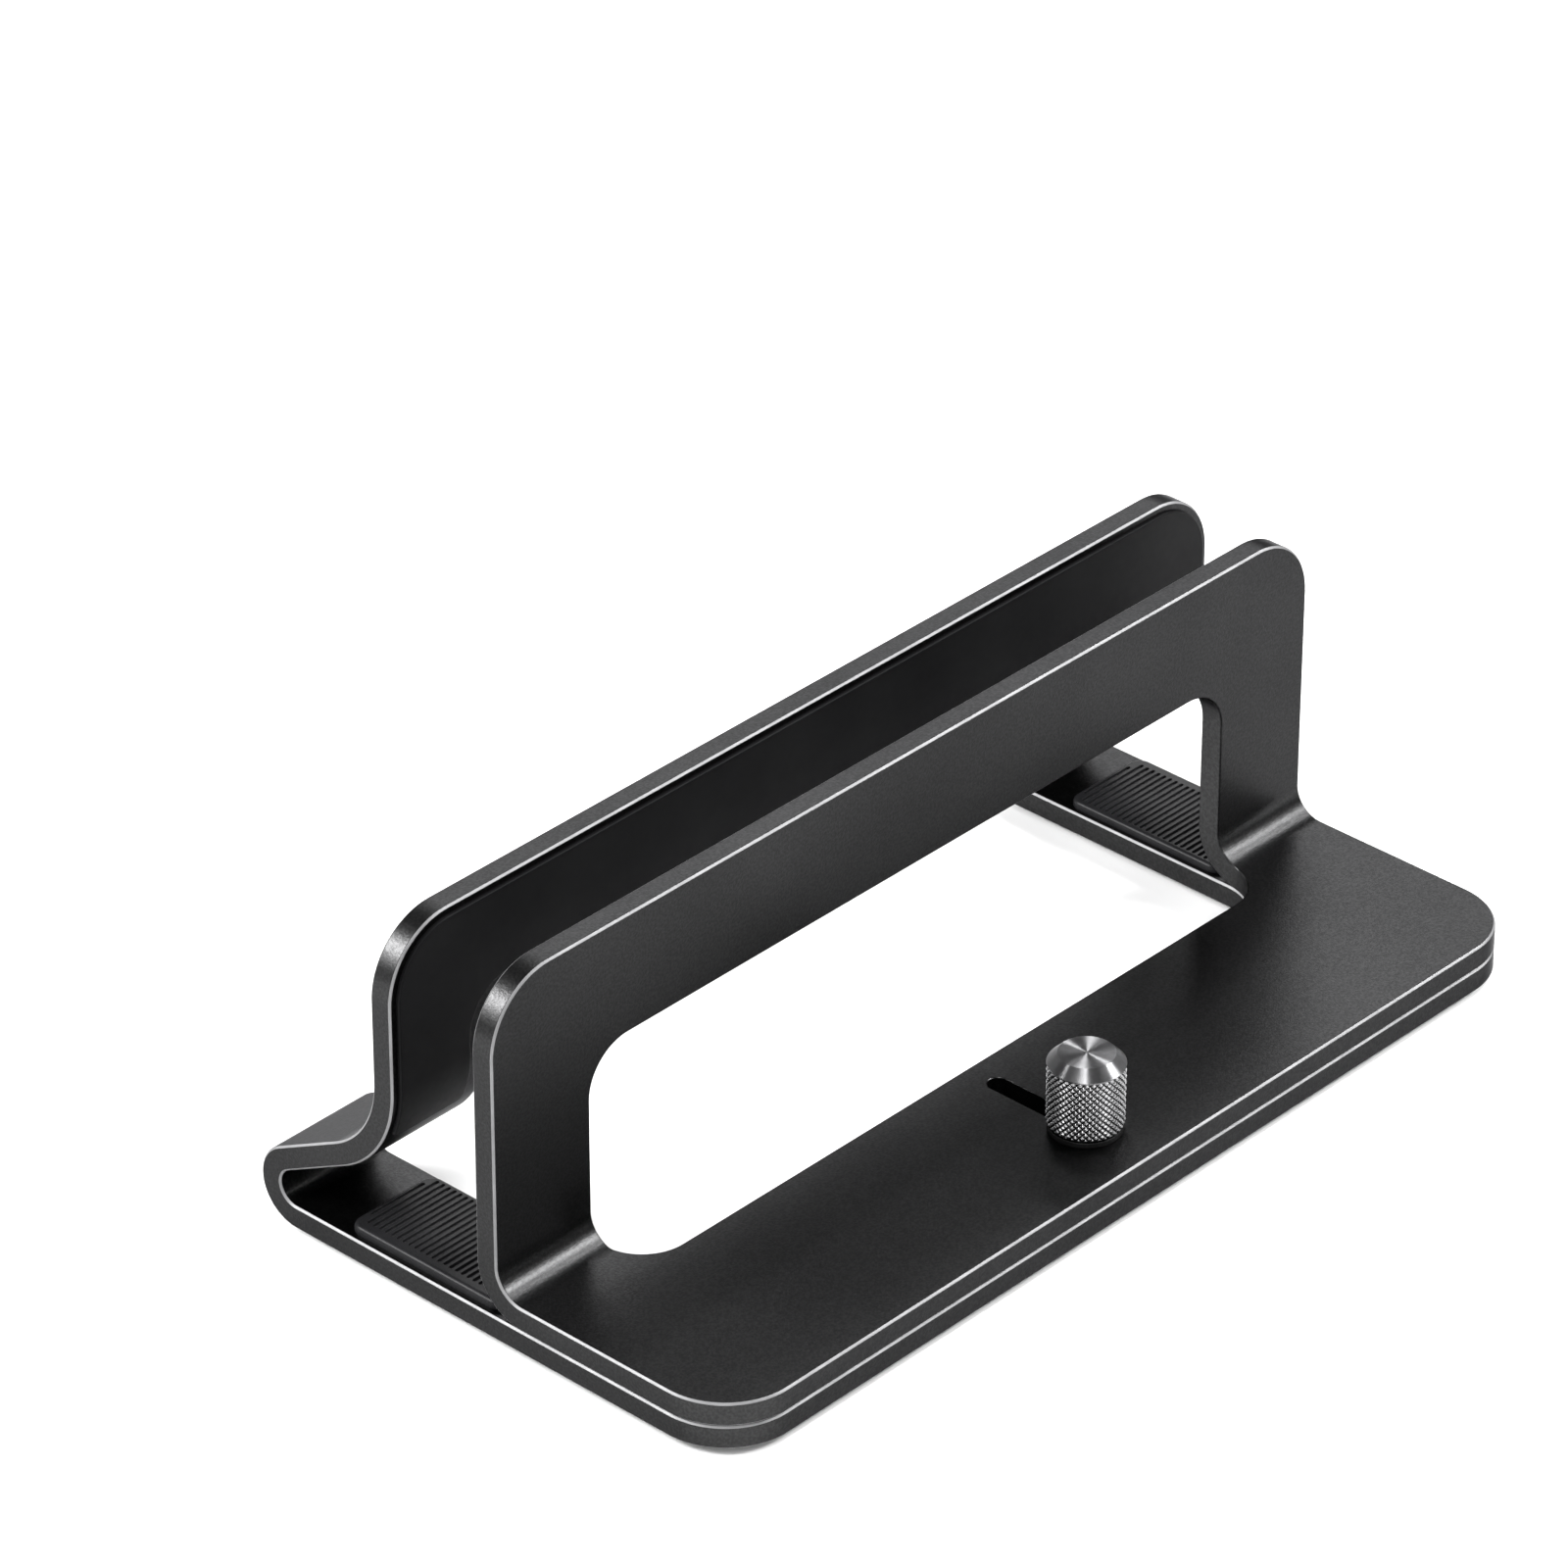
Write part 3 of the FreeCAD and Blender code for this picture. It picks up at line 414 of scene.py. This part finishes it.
# The same metal where the bevel is cut after anodising: bright, with faint lines along the cut.
bevel_mat, nt, bsdf = new_material("cut_bevel")
vec = coords(nt)
line = noise(nt, coords(nt, (1, 60, 60)), 70, 2.0, 0.5)
nt.links.new(ramp(nt, noise(nt, vec, 300, 2.0), [(0.3, (0.25, 0.25, 0.255)), (0.7, (0.31, 0.31, 0.315))]), bsdf.inputs["Base Color"])
nt.links.new(spread(nt, line, 0.56, 0.66), bsdf.inputs["Roughness"])
bsdf.inputs["Metallic"].default_value = 1.0
nt.links.new(bump(nt, noise(nt, vec, 2600, 2.0), 0.12, 0.00002), bsdf.inputs["Normal"])

# Satin black silicone skin.
skin_mat, nt, bsdf = new_material("satin_black_skin")
vec = coords(nt)
nt.links.new(ramp(nt, noise(nt, vec, 60, 3.0), [(0.3, (0.004, 0.004, 0.0045)), (0.7, (0.008, 0.008, 0.0085))]), bsdf.inputs["Base Color"])
nt.links.new(spread(nt, noise(nt, vec, 900, 2.0), 0.42, 0.56), bsdf.inputs["Roughness"])
bsdf.inputs["Specular IOR Level"].default_value = 0.06
nt.links.new(bump(nt, noise(nt, vec, 4200, 2.0), 0.2, 0.00002), bsdf.inputs["Normal"])

# Ribbed mat: the same silicone, a little greyer and drier.
mat_mat, nt, bsdf = new_material("ribbed_black_mat")
vec = coords(nt)
nt.links.new(ramp(nt, noise(nt, vec, 120, 3.0), [(0.3, (0.009, 0.009, 0.010)), (0.7, (0.015, 0.015, 0.016))]), bsdf.inputs["Base Color"])
nt.links.new(spread(nt, noise(nt, vec, 1400, 2.0), 0.30, 0.42), bsdf.inputs["Roughness"])
bsdf.inputs["Specular IOR Level"].default_value = 0.11
nt.links.new(bump(nt, noise(nt, vec, 5200, 2.0), 0.25, 0.00002), bsdf.inputs["Normal"])

# Rubber feet: matt, with a moulded speckle.
rubber_mat, nt, bsdf = new_material("matt_black_rubber")
vec = coords(nt)
nt.links.new(ramp(nt, noise(nt, vec, 400, 3.0), [(0.3, (0.012, 0.012, 0.012)), (0.7, (0.022, 0.022, 0.022))]), bsdf.inputs["Base Color"])
nt.links.new(spread(nt, noise(nt, vec, 1200, 2.0), 0.7, 0.85), bsdf.inputs["Roughness"])
nt.links.new(bump(nt, noise(nt, vec, 2400, 2.0), 0.4, 0.00005), bsdf.inputs["Normal"])

# Washer: black moulded nylon.
nylon_mat, nt, bsdf = new_material("black_nylon")
vec = coords(nt)
nt.links.new(ramp(nt, noise(nt, vec, 300, 3.0), [(0.3, (0.003, 0.003, 0.003)), (0.7, (0.006, 0.006, 0.006))]), bsdf.inputs["Base Color"])
nt.links.new(spread(nt, noise(nt, vec, 1600, 2.0), 0.5, 0.62), bsdf.inputs["Roughness"])
bsdf.inputs["Specular IOR Level"].default_value = 0.25
nt.links.new(bump(nt, noise(nt, vec, 3800, 2.0), 0.2, 0.00002), bsdf.inputs["Normal"])

# Steel of the stud and the pins: turned, slightly dull.
steel_mat, nt, bsdf = new_material("turned_steel")
vec = coords(nt)
nt.links.new(ramp(nt, noise(nt, vec, 500, 3.0), [(0.3, (0.42, 0.42, 0.43)), (0.7, (0.55, 0.55, 0.56))]), bsdf.inputs["Base Color"])
nt.links.new(spread(nt, noise(nt, coords(nt, (30, 30, 900)), 10, 2.0), 0.22, 0.38), bsdf.inputs["Roughness"])
bsdf.inputs["Metallic"].default_value = 1.0
nt.links.new(bump(nt, noise(nt, vec, 3000, 2.0), 0.15, 0.00002), bsdf.inputs["Normal"])

# Knob, knurled side: base colour near black in the grooves, rising to full brightness at the crests. The distance
# from the knob's axis tells one from the other.
KNOB_Y = 12.1 - DEPTH / 2.0


def from_axis(nt):
    """The vector from the knob's axis, level, and its length in metres."""
    tc = node(nt, "ShaderNodeTexCoord")
    sub = node(nt, "ShaderNodeVectorMath", operation="SUBTRACT")
    nt.links.new(tc.outputs["Object"], sub.inputs[0])
    sub.inputs[1].default_value = (0.0, KNOB_Y / 1000.0, 0.0)
    flat = node(nt, "ShaderNodeVectorMath", operation="MULTIPLY")
    nt.links.new(sub.outputs["Vector"], flat.inputs[0])
    flat.inputs[1].default_value = (1, 1, 0)
    length = node(nt, "ShaderNodeVectorMath", operation="LENGTH")
    nt.links.new(flat.outputs["Vector"], length.inputs[0])
    return flat.outputs["Vector"], length.outputs["Value"]


knurl_mat, nt, bsdf = new_material("knurled_bright")
vec = coords(nt)
_, radius = from_axis(nt)
# base colour falls to near black below the crest radius, darker towards the bottom of the grooves
crest = node(nt, "ShaderNodeMapRange")
crest.inputs["From Min"].default_value = 0.005735
crest.inputs["From Max"].default_value = 0.005815
nt.links.new(radius, crest.inputs["Value"])
shade = node(nt, "ShaderNodeVectorMath", operation="MULTIPLY")
nt.links.new(ramp(nt, crest.outputs["Result"], [(0.0, 0.02), (1.0, 1.0)]), shade.inputs[0])
nt.links.new(ramp(nt, noise(nt, vec, 900, 3.0), [(0.3, (0.60, 0.60, 0.61)), (0.7, (0.68, 0.68, 0.69))]), shade.inputs[1])
nt.links.new(shade.outputs["Vector"], bsdf.inputs["Base Color"])
nt.links.new(spread(nt, noise(nt, vec, 2200, 2.0), 0.22, 0.32), bsdf.inputs["Roughness"])
bsdf.inputs["Specular Tint"].default_value = (0.6, 0.6, 0.6, 1.0)
bsdf.inputs["Metallic"].default_value = 1.0
nt.links.new(bump(nt, noise(nt, vec, 3000, 2.0), 0.10, 0.00001), bsdf.inputs["Normal"])

# Knob, faced top and cone: spun lines round the axis, so light spreads along the radius.
spun_mat, nt, bsdf = new_material("spun_bright")
vec = coords(nt)
nt.links.new(ramp(nt, noise(nt, vec, 700, 3.0), [(0.3, (0.20, 0.20, 0.205)), (0.7, (0.25, 0.25, 0.255))]), bsdf.inputs["Base Color"])
bsdf.inputs["Roughness"].default_value = 0.38
bsdf.inputs["Anisotropic"].default_value = 1.0
bsdf.inputs["Metallic"].default_value = 1.0
out_from_axis, radius = from_axis(nt)
nrm = node(nt, "ShaderNodeVectorMath", operation="NORMALIZE")
nt.links.new(out_from_axis, nrm.inputs[0])
nt.links.new(nrm.outputs["Vector"], bsdf.inputs["Tangent"])
ring = node(nt, "ShaderNodeCombineXYZ")
nt.links.new(radius, ring.inputs["X"])
nt.links.new(bump(nt, noise(nt, ring.outputs["Vector"], 9000, 2.0), 0.1, 0.00001), bsdf.inputs["Normal"])

# ---------------------------------------------------------------- plates
SLOPE = math.radians(28.0)
nx_, nz_ = math.cos(math.pi / 2 - SLOPE), math.sin(math.pi / 2 - SLOPE)
sz = 7.0 + (23.0 - nx_ * (86.25 - 87.5)) / nz_
f_end = np.array([87.5 + 5.0 * nx_, 7.0 + 5.0 * nz_])
s_end = np.array([86.25 - 18.0 * nx_, sz - 18.0 * nz_])
base_bend = Bend((0.0, 2.0), [
    ("line", 87.5, 0), ("arc", 5.0, math.pi - SLOPE), ("line", float(np.linalg.norm(f_end - s_end)), 0),
    ("arc", 18.0, -(math.pi / 2 - SLOPE)), ("line", 60.0 - sz, 0)])
jaw_bend = Bend((0.0, 6.0), [("line", 41.1, 0), ("arc", 6.8, math.pi / 2), ("line", 60.0 - 12.8, 0)])

BEVEL, RHO = 0.33, 0.32
EDGE = bevelled(BEVEL, RHO, H, -H)
D0 = EDGE[0][0]
SOFT_EDGE = [(d, w, g, 0) for d, w, g, m in bevelled(0.18, 0.30, H, -H)]


def plate(name, bend, extra, body, cad, inner):
    levels = bend.levels(math.radians(2.6))
    sh = Sheet(bend, levels)
    outer = outline(rect(-90, 0, 90, bend.total, 12.0), levels, D0, 28)
    win = outline(rect(-70.25, 35.4, 70.25, bend.total - 20.0, 8.0, hole=True), levels, inner[0][0], 22)
    up, down, loops_up, loops_down, d_up, d_down = [], [], [], [], [], []
    for loop, section in ((outer, EDGE), (win, inner)):
        a, b = sh.band(loop, section)
        up.append(a), down.append(b), loops_up.append(loop), loops_down.append(loop)
        d_up.append(section[0][0]), d_down.append(section[0][0])
    extra(sh, up, down, loops_up, loops_down, d_up, d_down)
    sh.cap(up, loops_up, d_up, H, 1.0)
    sh.cap(down, loops_down, d_down, -H, -1.0)
    ob = sh.soup.build(name, [plate_mat, bevel_mat])
    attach(ob, body)
    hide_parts(cad)
    return ob


def blind(sh, loop, up, w_face, sign, depth, ups, loops, ds):
    """A blind hole from the face w = sign * H."""
    rows = pocket(0, H, depth, 0.06, 0.1)
    rows = [(d, sign * w, sign * g if sign > 0 else -g, m) for d, w, g, m in rows]
    a, b = sh.band(loop, rows)
    ups.append(a), loops.append(loop), ds.append(rows[0][0])
    sh.soup.face(list(b), 0)


def jaw_extra(sh, up, down, lu, ld, du, dd):
    slot = stadium(0, 12.1, 0, 29.3, 1.7, 16)
    rows = [(d, w, g, 0) for d, w, g, m in bevelled(0.12, 0.06, H, -H, 3, low=False)]
    rows.append((0.0, -H + 0.08, 0.0, 0))
    for a in (30, 60, 90):
        g = -math.radians(a)
        rows.append((0.08 - 0.08 * math.cos(g), -H + 0.08 + 0.08 * math.sin(g), g, 0))
    a, b = sh.band(slot, rows)
    up.append(a), lu.append(slot), du.append(rows[0][0])
    down.append(b), ld.append(slot), dd.append(rows[-1][0])
    for side in (-1, 1):
        blind(sh, stadium(side * 60.0, 10.0, side * 60.0, 27.0, 1.56, 12), None, -H, -1.0, 2.2, down, ld, dd)


def base_extra(sh, up, down, lu, ld, du, dd):
    hole = disc(0, 12.1, 1.55)
    rows = bevelled(0.15, 0.05, H, -H, 2)
    rows = [(d, w, g, 0) for d, w, g, m in rows]
    a, b = sh.band(hole, rows)
    up.append(a), lu.append(hole), du.append(rows[0][0])
    down.append(b), ld.append(hole), dd.append(rows[-1][0])
    for side in (-1, 1):
        blind(sh, disc(side * 60.0, 10.0, 1.5), None, H, 1.0, 3.4, up, lu, du)


plate("base_plate_sheet", base_bend, base_extra, "base", "base_plate", EDGE)
plate("front_jaw_sheet", jaw_bend, jaw_extra, "jaw", "front_jaw", SOFT_EDGE)

# ---------------------------------------------------------------- jaw pads
PADL = rounded_lip(0.32, 0.6, 0.0, 5)


def u_skin(name, bend, s_low, s_top, s_win, toe, body, cad, flip, lip=PADL):
    """An upside-down U of skin. flip puts it on the sheet's other face."""
    levels = [L for L in bend.levels(math.radians(2.6)) if s_low < L < s_top]
    sh = Sheet(bend, levels)
    corners = [(-88.7, s_low, toe), (-74.4, s_low, toe), (-74.4, s_win, 8.0), (74.4, s_win, 8.0), (74.4, s_low, toe),
               (88.7, s_low, toe), (88.7, s_top, 10.7), (-88.7, s_top, 10.7)]
    loop = outline(corners, levels, lip[0][0], 22)
    sign = -1.0 if flip else 1.0
    rows = [(d, sign * (H + w), sign * g, m) for d, w, g, m in lip]
    a, b = sh.band(loop, rows)
    sh.cap([a], [loop], [lip[0][0]], sign * (H + 0.6), sign)
    ob = sh.soup.build(name, [skin_mat])
    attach(ob, body)
    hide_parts(cad)
    return ob


s_sweep_top = base_bend.parts[4][1]
u_skin("rear_jaw_skin", base_bend, s_sweep_top - 18.0 * math.radians(27.0), base_bend.total - 1.3,
       base_bend.total - 16.0, 1.4, "base", "rear_jaw_pad", False)
u_skin("front_jaw_skin", jaw_bend, jaw_bend.parts[2][1] + 14.0 - 12.8, jaw_bend.total - 1.3,
       jaw_bend.total - 16.0, 4.0, "jaw", "front_jaw_pad", True)


# ---------------------------------------------------------------- floor mats
def ribbed_mat(name, side, cad):
    flat_bend = Bend((0.0, 0.0), [("line", 94.5, 0)])
    sh = Sheet(flat_bend, [])
    x0, x1 = sorted((side * 71.35, side * 88.75))
    outer = outline(rect(x0, 46.4, x1, 77.75, 2.3), [], 0.8, 14)
    lip = [(d, 4.0 + w, g, m) for d, w, g, m in rounded_lip(0.8, 1.3, 0.0, 8)]
    a, _ = sh.band(outer, lip)
    rings, loops, ds = [a], [outer], [lip[0][0]]
    for k in range(24):
        y = 76.56 - 1.2 * k
        trim = 1.8 if k == 0 else 0.0
        xa, xb = sorted((side * (72.3 + trim + 0.3), side * (86.9 - trim - 0.3)))
        groove = stadium(xa, y, xb, y, 0.3, 8)
        rows = pocket(0.3, 5.3, 0.5, 0.07, 0.1)
        a, b = sh.band(groove, rows)
        rings.append(a), loops.append(groove), ds.append(rows[0][0])
        sh.soup.face(list(b), 0)
    sh.cap(rings, loops, ds, 5.3, 1.0)
    ob = sh.soup.build(name, [mat_mat])
    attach(ob, "base")
    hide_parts(cad)
    return ob


ribbed_mat("floor_mat_left_ribbed", -1, "floor_mat_left")
ribbed_mat("floor_mat_right_ribbed", 1, "floor_mat_right")


# ---------------------------------------------------------------- turned pieces
def grid_normals(P):
    """Normals of a closed ring grid P[row, column]."""
    du = np.roll(P, -1, axis=1) - np.roll(P, 1, axis=1)
    dv = np.zeros_like(P)
    dv[1:-1] = P[2:] - P[:-2]
    dv[0], dv[-1] = P[1] - P[0], P[-1] - P[-2]
    n = np.cross(du, dv)
    return n / np.maximum(np.linalg.norm(n, axis=2), 1e-12)[:, :, None]


def ring_grid(soup, P, N, mat, share=None):
    """Adds a grid of rings. share is a ring of ids that takes the place of the first row."""
    rows = []
    for k in range(len(P)):
        rows.append(share if k == 0 and share is not None else soup.add(P[k], N[k]))
    n = P.shape[1]
    for k in range(len(P) - 1):
        for i in range(n):
            j = (i + 1) % n
            soup.face([rows[k][i], rows[k][j], rows[k + 1][j], rows[k + 1][i]], mat)
    return rows[0], rows[-1]


def revolve(soup, profile, cy, count, mat):
    """Turned surface from (r, z, nr, nz) rows."""
    a = np.linspace(0, 2 * math.pi, count, endpoint=False)
    rings = []
    for r, z, nr, nz in profile:
        P = np.column_stack([r * np.cos(a), cy + r * np.sin(a), np.full(count, z)])
        N = np.column_stack([nr * np.cos(a), nr * np.sin(a), np.full(count, nz)])
        rings.append(soup.add(P, N))
    for k in range(len(rings) - 1):
        for i in range(count):
            j = (i + 1) % count
            soup.face([rings[k][i], rings[k][j], rings[k + 1][j], rings[k + 1][i]], mat)
    return rings


def turn_arc(cr, cz, r, a0, a1, n):
    """Rows of a rounded edge on a turned piece, angles in degrees above the radius."""
    return [(cr + r * math.cos(math.radians(a)), cz + r * math.sin(math.radians(a)),
             math.cos(math.radians(a)), math.sin(math.radians(a))) for a in np.linspace(a0, a1, n + 1)]


CY = 12.1
knob = Soup()
# diamond knurl: two crossing sets of grooves, cut to KD below the outside radius
ND, PZ, SUB, KD = 35, 1.09, 7, 0.30
Z_LO, Z_HI = 9.3, 19.55
rows_n = int(round((Z_HI - Z_LO) / PZ * 2 * SUB)) + 1
zs = np.linspace(Z_LO, Z_HI, rows_n)
th = np.linspace(0, 2 * math.pi, ND * 2 * SUB, endpoint=False)
TH, ZZ = np.meshgrid(th, zs)


def ridge(v):
    return 1.0 - np.abs(2.0 * (v - np.floor(v)) - 1.0)


u1 = ND * TH / (2 * math.pi) + (ZZ - Z_LO) / PZ
u2 = ND * TH / (2 * math.pi) - (ZZ - Z_LO) / PZ
hgt = np.minimum(np.minimum(ridge(u1), ridge(u2)), 0.86) / 0.86
fade = np.clip(np.minimum((ZZ - Z_LO) / 0.25, (Z_HI - ZZ) / 0.25), 0, 1)
RR = 6.0 - 0.02 - KD * (1.0 - hgt) * fade - np.where(ZZ < 12.0, 0.24, 0.05) * (1 - fade)
P = np.stack([RR * np.cos(TH), CY + RR * np.sin(TH), ZZ], axis=2)
N = grid_normals(P)
side_lo, side_hi = ring_grid(knob, P, N, 0)
count = len(th)
r_edge = float(RR[0, 0])
revolve(knob, [(r_edge, Z_LO, 1, 0), (5.70, 9.02, 1, 0)], CY, count, 0)
revolve(knob, [(5.70, 9.02, 0.7, -0.7), (5.65, 9.0, 0, -1), (1.5, 9.0, 0, -1)], CY, count, 1)
# cone with rounded lips, then the faced disc with its spun rings
rc = 0.10
tt = rc * math.tan(math.radians(22.5))
top_z, top_r = 21.4, 4.35
cone = [(float(RR[-1, 0]), Z_HI, 1, 0)]
cone += turn_arc(5.99 - rc, 19.75 - tt, rc, 0, 45, 4)
cone += turn_arc(top_r - tt, top_z - rc, rc, 45, 90, 4)
rr = np.arange(top_r - tt - 0.05, 0.06, -0.05)
amp = 0.03
disc_rows = []
for k, r in enumerate(rr):
    slope = amp * math.sin(2 * math.pi * r / 0.2)
    disc_rows.append((r, top_z - 0.002, slope, 1.0))
disc_rows.append((0.02, top_z - 0.002, 0, 1))
rings = revolve(knob, cone + disc_rows, CY, 288, 1)
knob.face(rings[-1], 1)
knob_ob = knob.build("thumbscrew_knob", [knurl_mat, spun_mat])
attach(knob_ob, "thumbscrew")
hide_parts("clamp_knob")

# stud with its M3 thread, 0.5 mm pitch
stud = Soup()
n_th, per = 48, 8
zs = np.arange(0.9, 16.9 + 1e-9, 0.5 / per)
th = np.linspace(0, 2 * math.pi, n_th, endpoint=False)
TH, ZZ = np.meshgrid(th, zs)
ph = (ZZ / 0.5 - TH / (2 * math.pi)) % 1.0
depth = 0.29 * np.clip(np.abs(2 * ph - 1) * 1.25 - 0.12, 0, 1)
ends_ = np.clip(np.minimum(ZZ - 0.9, 16.9 - ZZ) / 0.4, 0, 1)
RR = 1.5 - 0.01 - depth * ends_ - 0.29 * (1 - ends_)
P = np.stack([RR * np.cos(TH), CY + RR * np.sin(TH), ZZ], axis=2)
lo, hi = ring_grid(stud, P, grid_normals(P), 0)
rings = revolve(stud, [(1.2, 0.9, 1, -0.2), (1.0, 0.65, 0.5, -0.8), (0.95, 0.6, 0, -1), (0.02, 0.6, 0, -1)], CY, n_th, 0)
stud.face(rings[-1], 0)
stud_ob = stud.build("thumbscrew_stud", [steel_mat])
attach(stud_ob, "thumbscrew")
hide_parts("clamp_stud")

# washer with soft edges and a shallow turned step
washer = Soup()
prof = [(1.7, 8.0 + 0.15, -1, 0), (1.7, 8.85, -1, 0), (1.8, 8.98, -0.6, 0.8), (1.95, 9.0, 0, 1), (5.4, 9.0, 0, 1)]
prof += turn_arc(5.52, 8.78, 0.22, 90, 0, 5) + turn_arc(5.52, 8.22, 0.22, 0, -90, 5)
prof += [(1.95, 8.0, 0, -1), (1.8, 8.03, -0.5, -0.8), (1.7, 8.15, -1, 0)]
revolve(washer, prof, CY, 96, 0)
washer_ob = washer.build("thumbscrew_washer", [nylon_mat])
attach(washer_ob, "washer")
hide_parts("clamp_washer")

# feet: a low dome edge and two moulded rings underneath
for nm, fx, fy in (("foot_front_left", -76.0, 12.5), ("foot_front_right", 76.0, 12.5),
                   ("foot_rear_left", -80.1, 79.0), ("foot_rear_right", 80.1, 79.0)):
    f = Soup()
    prof = [(5.9, 0.0, 1, 0.1)]
    prof += turn_arc(5.6, -0.6, 0.4, 20, -90, 6)
    for rg in (4.6, 3.0):
        prof += [(rg + 0.35, -1.0, 0, -1), (rg + 0.22, -0.97, -0.4, -0.9), (rg, -0.9, 0, -1), (rg - 0.22, -0.97, 0.4, -0.9), (rg - 0.35, -1.0, 0, -1)]
    prof += [(0.02, -1.0, 0, -1)]
    prof = [(r * 1.0, max(z, -1.0), nr, nz) for r, z, nr, nz in prof]
    prof = [p for p in prof]
    # the construction frame's zero is the plate's underside, so the foot hangs from 0 to -1
    a = np.linspace(0, 2 * math.pi, 72, endpoint=False)
    rings = []
    for r, z, nr, nz in prof:
        rings.append(f.add(np.column_stack([fx + r * np.cos(a), fy + r * np.sin(a), np.full(72, z)]),
                           np.column_stack([nr * np.cos(a), nr * np.sin(a), np.full(72, nz)])))
    for k in range(len(rings) - 1):
        for i in range(72):
            j = (i + 1) % 72
            f.face([rings[k][i], rings[k][j], rings[k + 1][j], rings[k + 1][i]], 0)
    f.face(rings[-1], 0)
    ob = f.build(nm + "_moulded", [rubber_mat])
    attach(ob, "base")
    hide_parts(nm)

for nm in ("guide_pin_left", "guide_pin_right"):
    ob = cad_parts[nm]
    for k in range(len(ob.data.materials)):
        ob.data.materials[k] = steel_mat

# ---------------------------------------------------------------- floor, light, camera
scene = bpy.context.scene
me = bpy.data.meshes.new("floor")
S = 6.0
me.from_pydata([(-S, -S, 0), (S, -S, 0), (S, S, 0), (-S, S, 0)], [], [(0, 1, 2, 3)])
floor = bpy.data.objects.new("floor", me)
scene.collection.objects.link(floor)
fm, nt, bsdf = new_material("pale_floor")
vec = coords(nt)
nt.links.new(ramp(nt, noise(nt, vec, 3, 3.0), [(0.3, 0.88), (0.7, 0.90)]), bsdf.inputs["Base Color"])
bsdf.inputs["Roughness"].default_value = 0.9
bsdf.inputs["Specular IOR Level"].default_value = 0.1
me.materials.append(fm)

world = bpy.data.worlds.new("studio")
scene.world = world
world.use_nodes = True
world.node_tree.nodes["Background"].inputs["Color"].default_value = (1.0, 1.0, 1.0, 1)
world.node_tree.nodes["Background"].inputs["Strength"].default_value = 0.10


def softbox(name, direction, distance, size, power, target=(0.0, 0.0, 0.02)):
    """An area light seen from the stand in the given direction."""
    d = Vector(direction).normalized()
    ld = bpy.data.lights.new(name, "AREA")
    ld.shape = "RECTANGLE"
    ld.size, ld.size_y = size
    ld.energy = power
    ob = bpy.data.objects.new(name, ld)
    scene.collection.objects.link(ob)
    ob.location = Vector(target) + d * distance
    ob.rotation_mode = "QUATERNION"
    ob.rotation_quaternion = (-d).to_track_quat("-Z", "Y")
    return ob


def card(name, direction, distance, size, radiance):
    """A softbox given by what it shines with, seen from the stand."""
    return softbox(name, direction, distance, size, radiance * math.pi * size[0] * size[1])


card("overhead", (-0.38, -0.20, 0.90), 1.6, (0.42, 1.1), 7.0)
card("camera_side", (-0.66, -0.52, 0.52), 1.7, (0.27, 0.45), 22.0)
card("disc_line", (0.32, 0.35, 0.88), 1.4, (0.14, 0.30), 36.0)
card("right_high", (0.62, -0.20, 0.74), 1.3, (0.13, 0.25), 50.0)
card("key_right_front", (0.584, -0.541, 0.605), 0.925, (0.32, 0.17), 45.0)
card("key_left_rear", (-0.59, 0.58, 0.565), 1.1, (0.40, 0.23), 46.0)
card("left_rear_low", (-0.72, 0.56, 0.38), 1.3, (0.5, 0.25), 7.0)
card("rear_right", (0.63, 0.59, 0.50), 1.4, (0.8, 0.5), 4.6)
card("rear_soft", (-0.235, 0.89, 0.388), 1.5, (0.4, 0.3), 2.5)
card("front_low", (0.14, -0.91, 0.38), 1.5, (0.5, 0.35), 2.0)

cam = bpy.data.cameras.new("photo_view")
cam.lens = 185.87
cam.sensor_width = 36.0
cam.sensor_fit = "HORIZONTAL"
cam.clip_start, cam.clip_end = 0.05, 50.0
camera = bpy.data.objects.new("photo_view", cam)
scene.collection.objects.link(camera)
camera.location = (-0.75923, -0.67726, 0.68440)
camera.rotation_euler = Euler((math.radians(58.217), 0.0, math.radians(-47.204)), "XYZ")
scene.camera = camera
scene.view_settings.view_transform = "Standard"
scene.view_settings.look = "None"
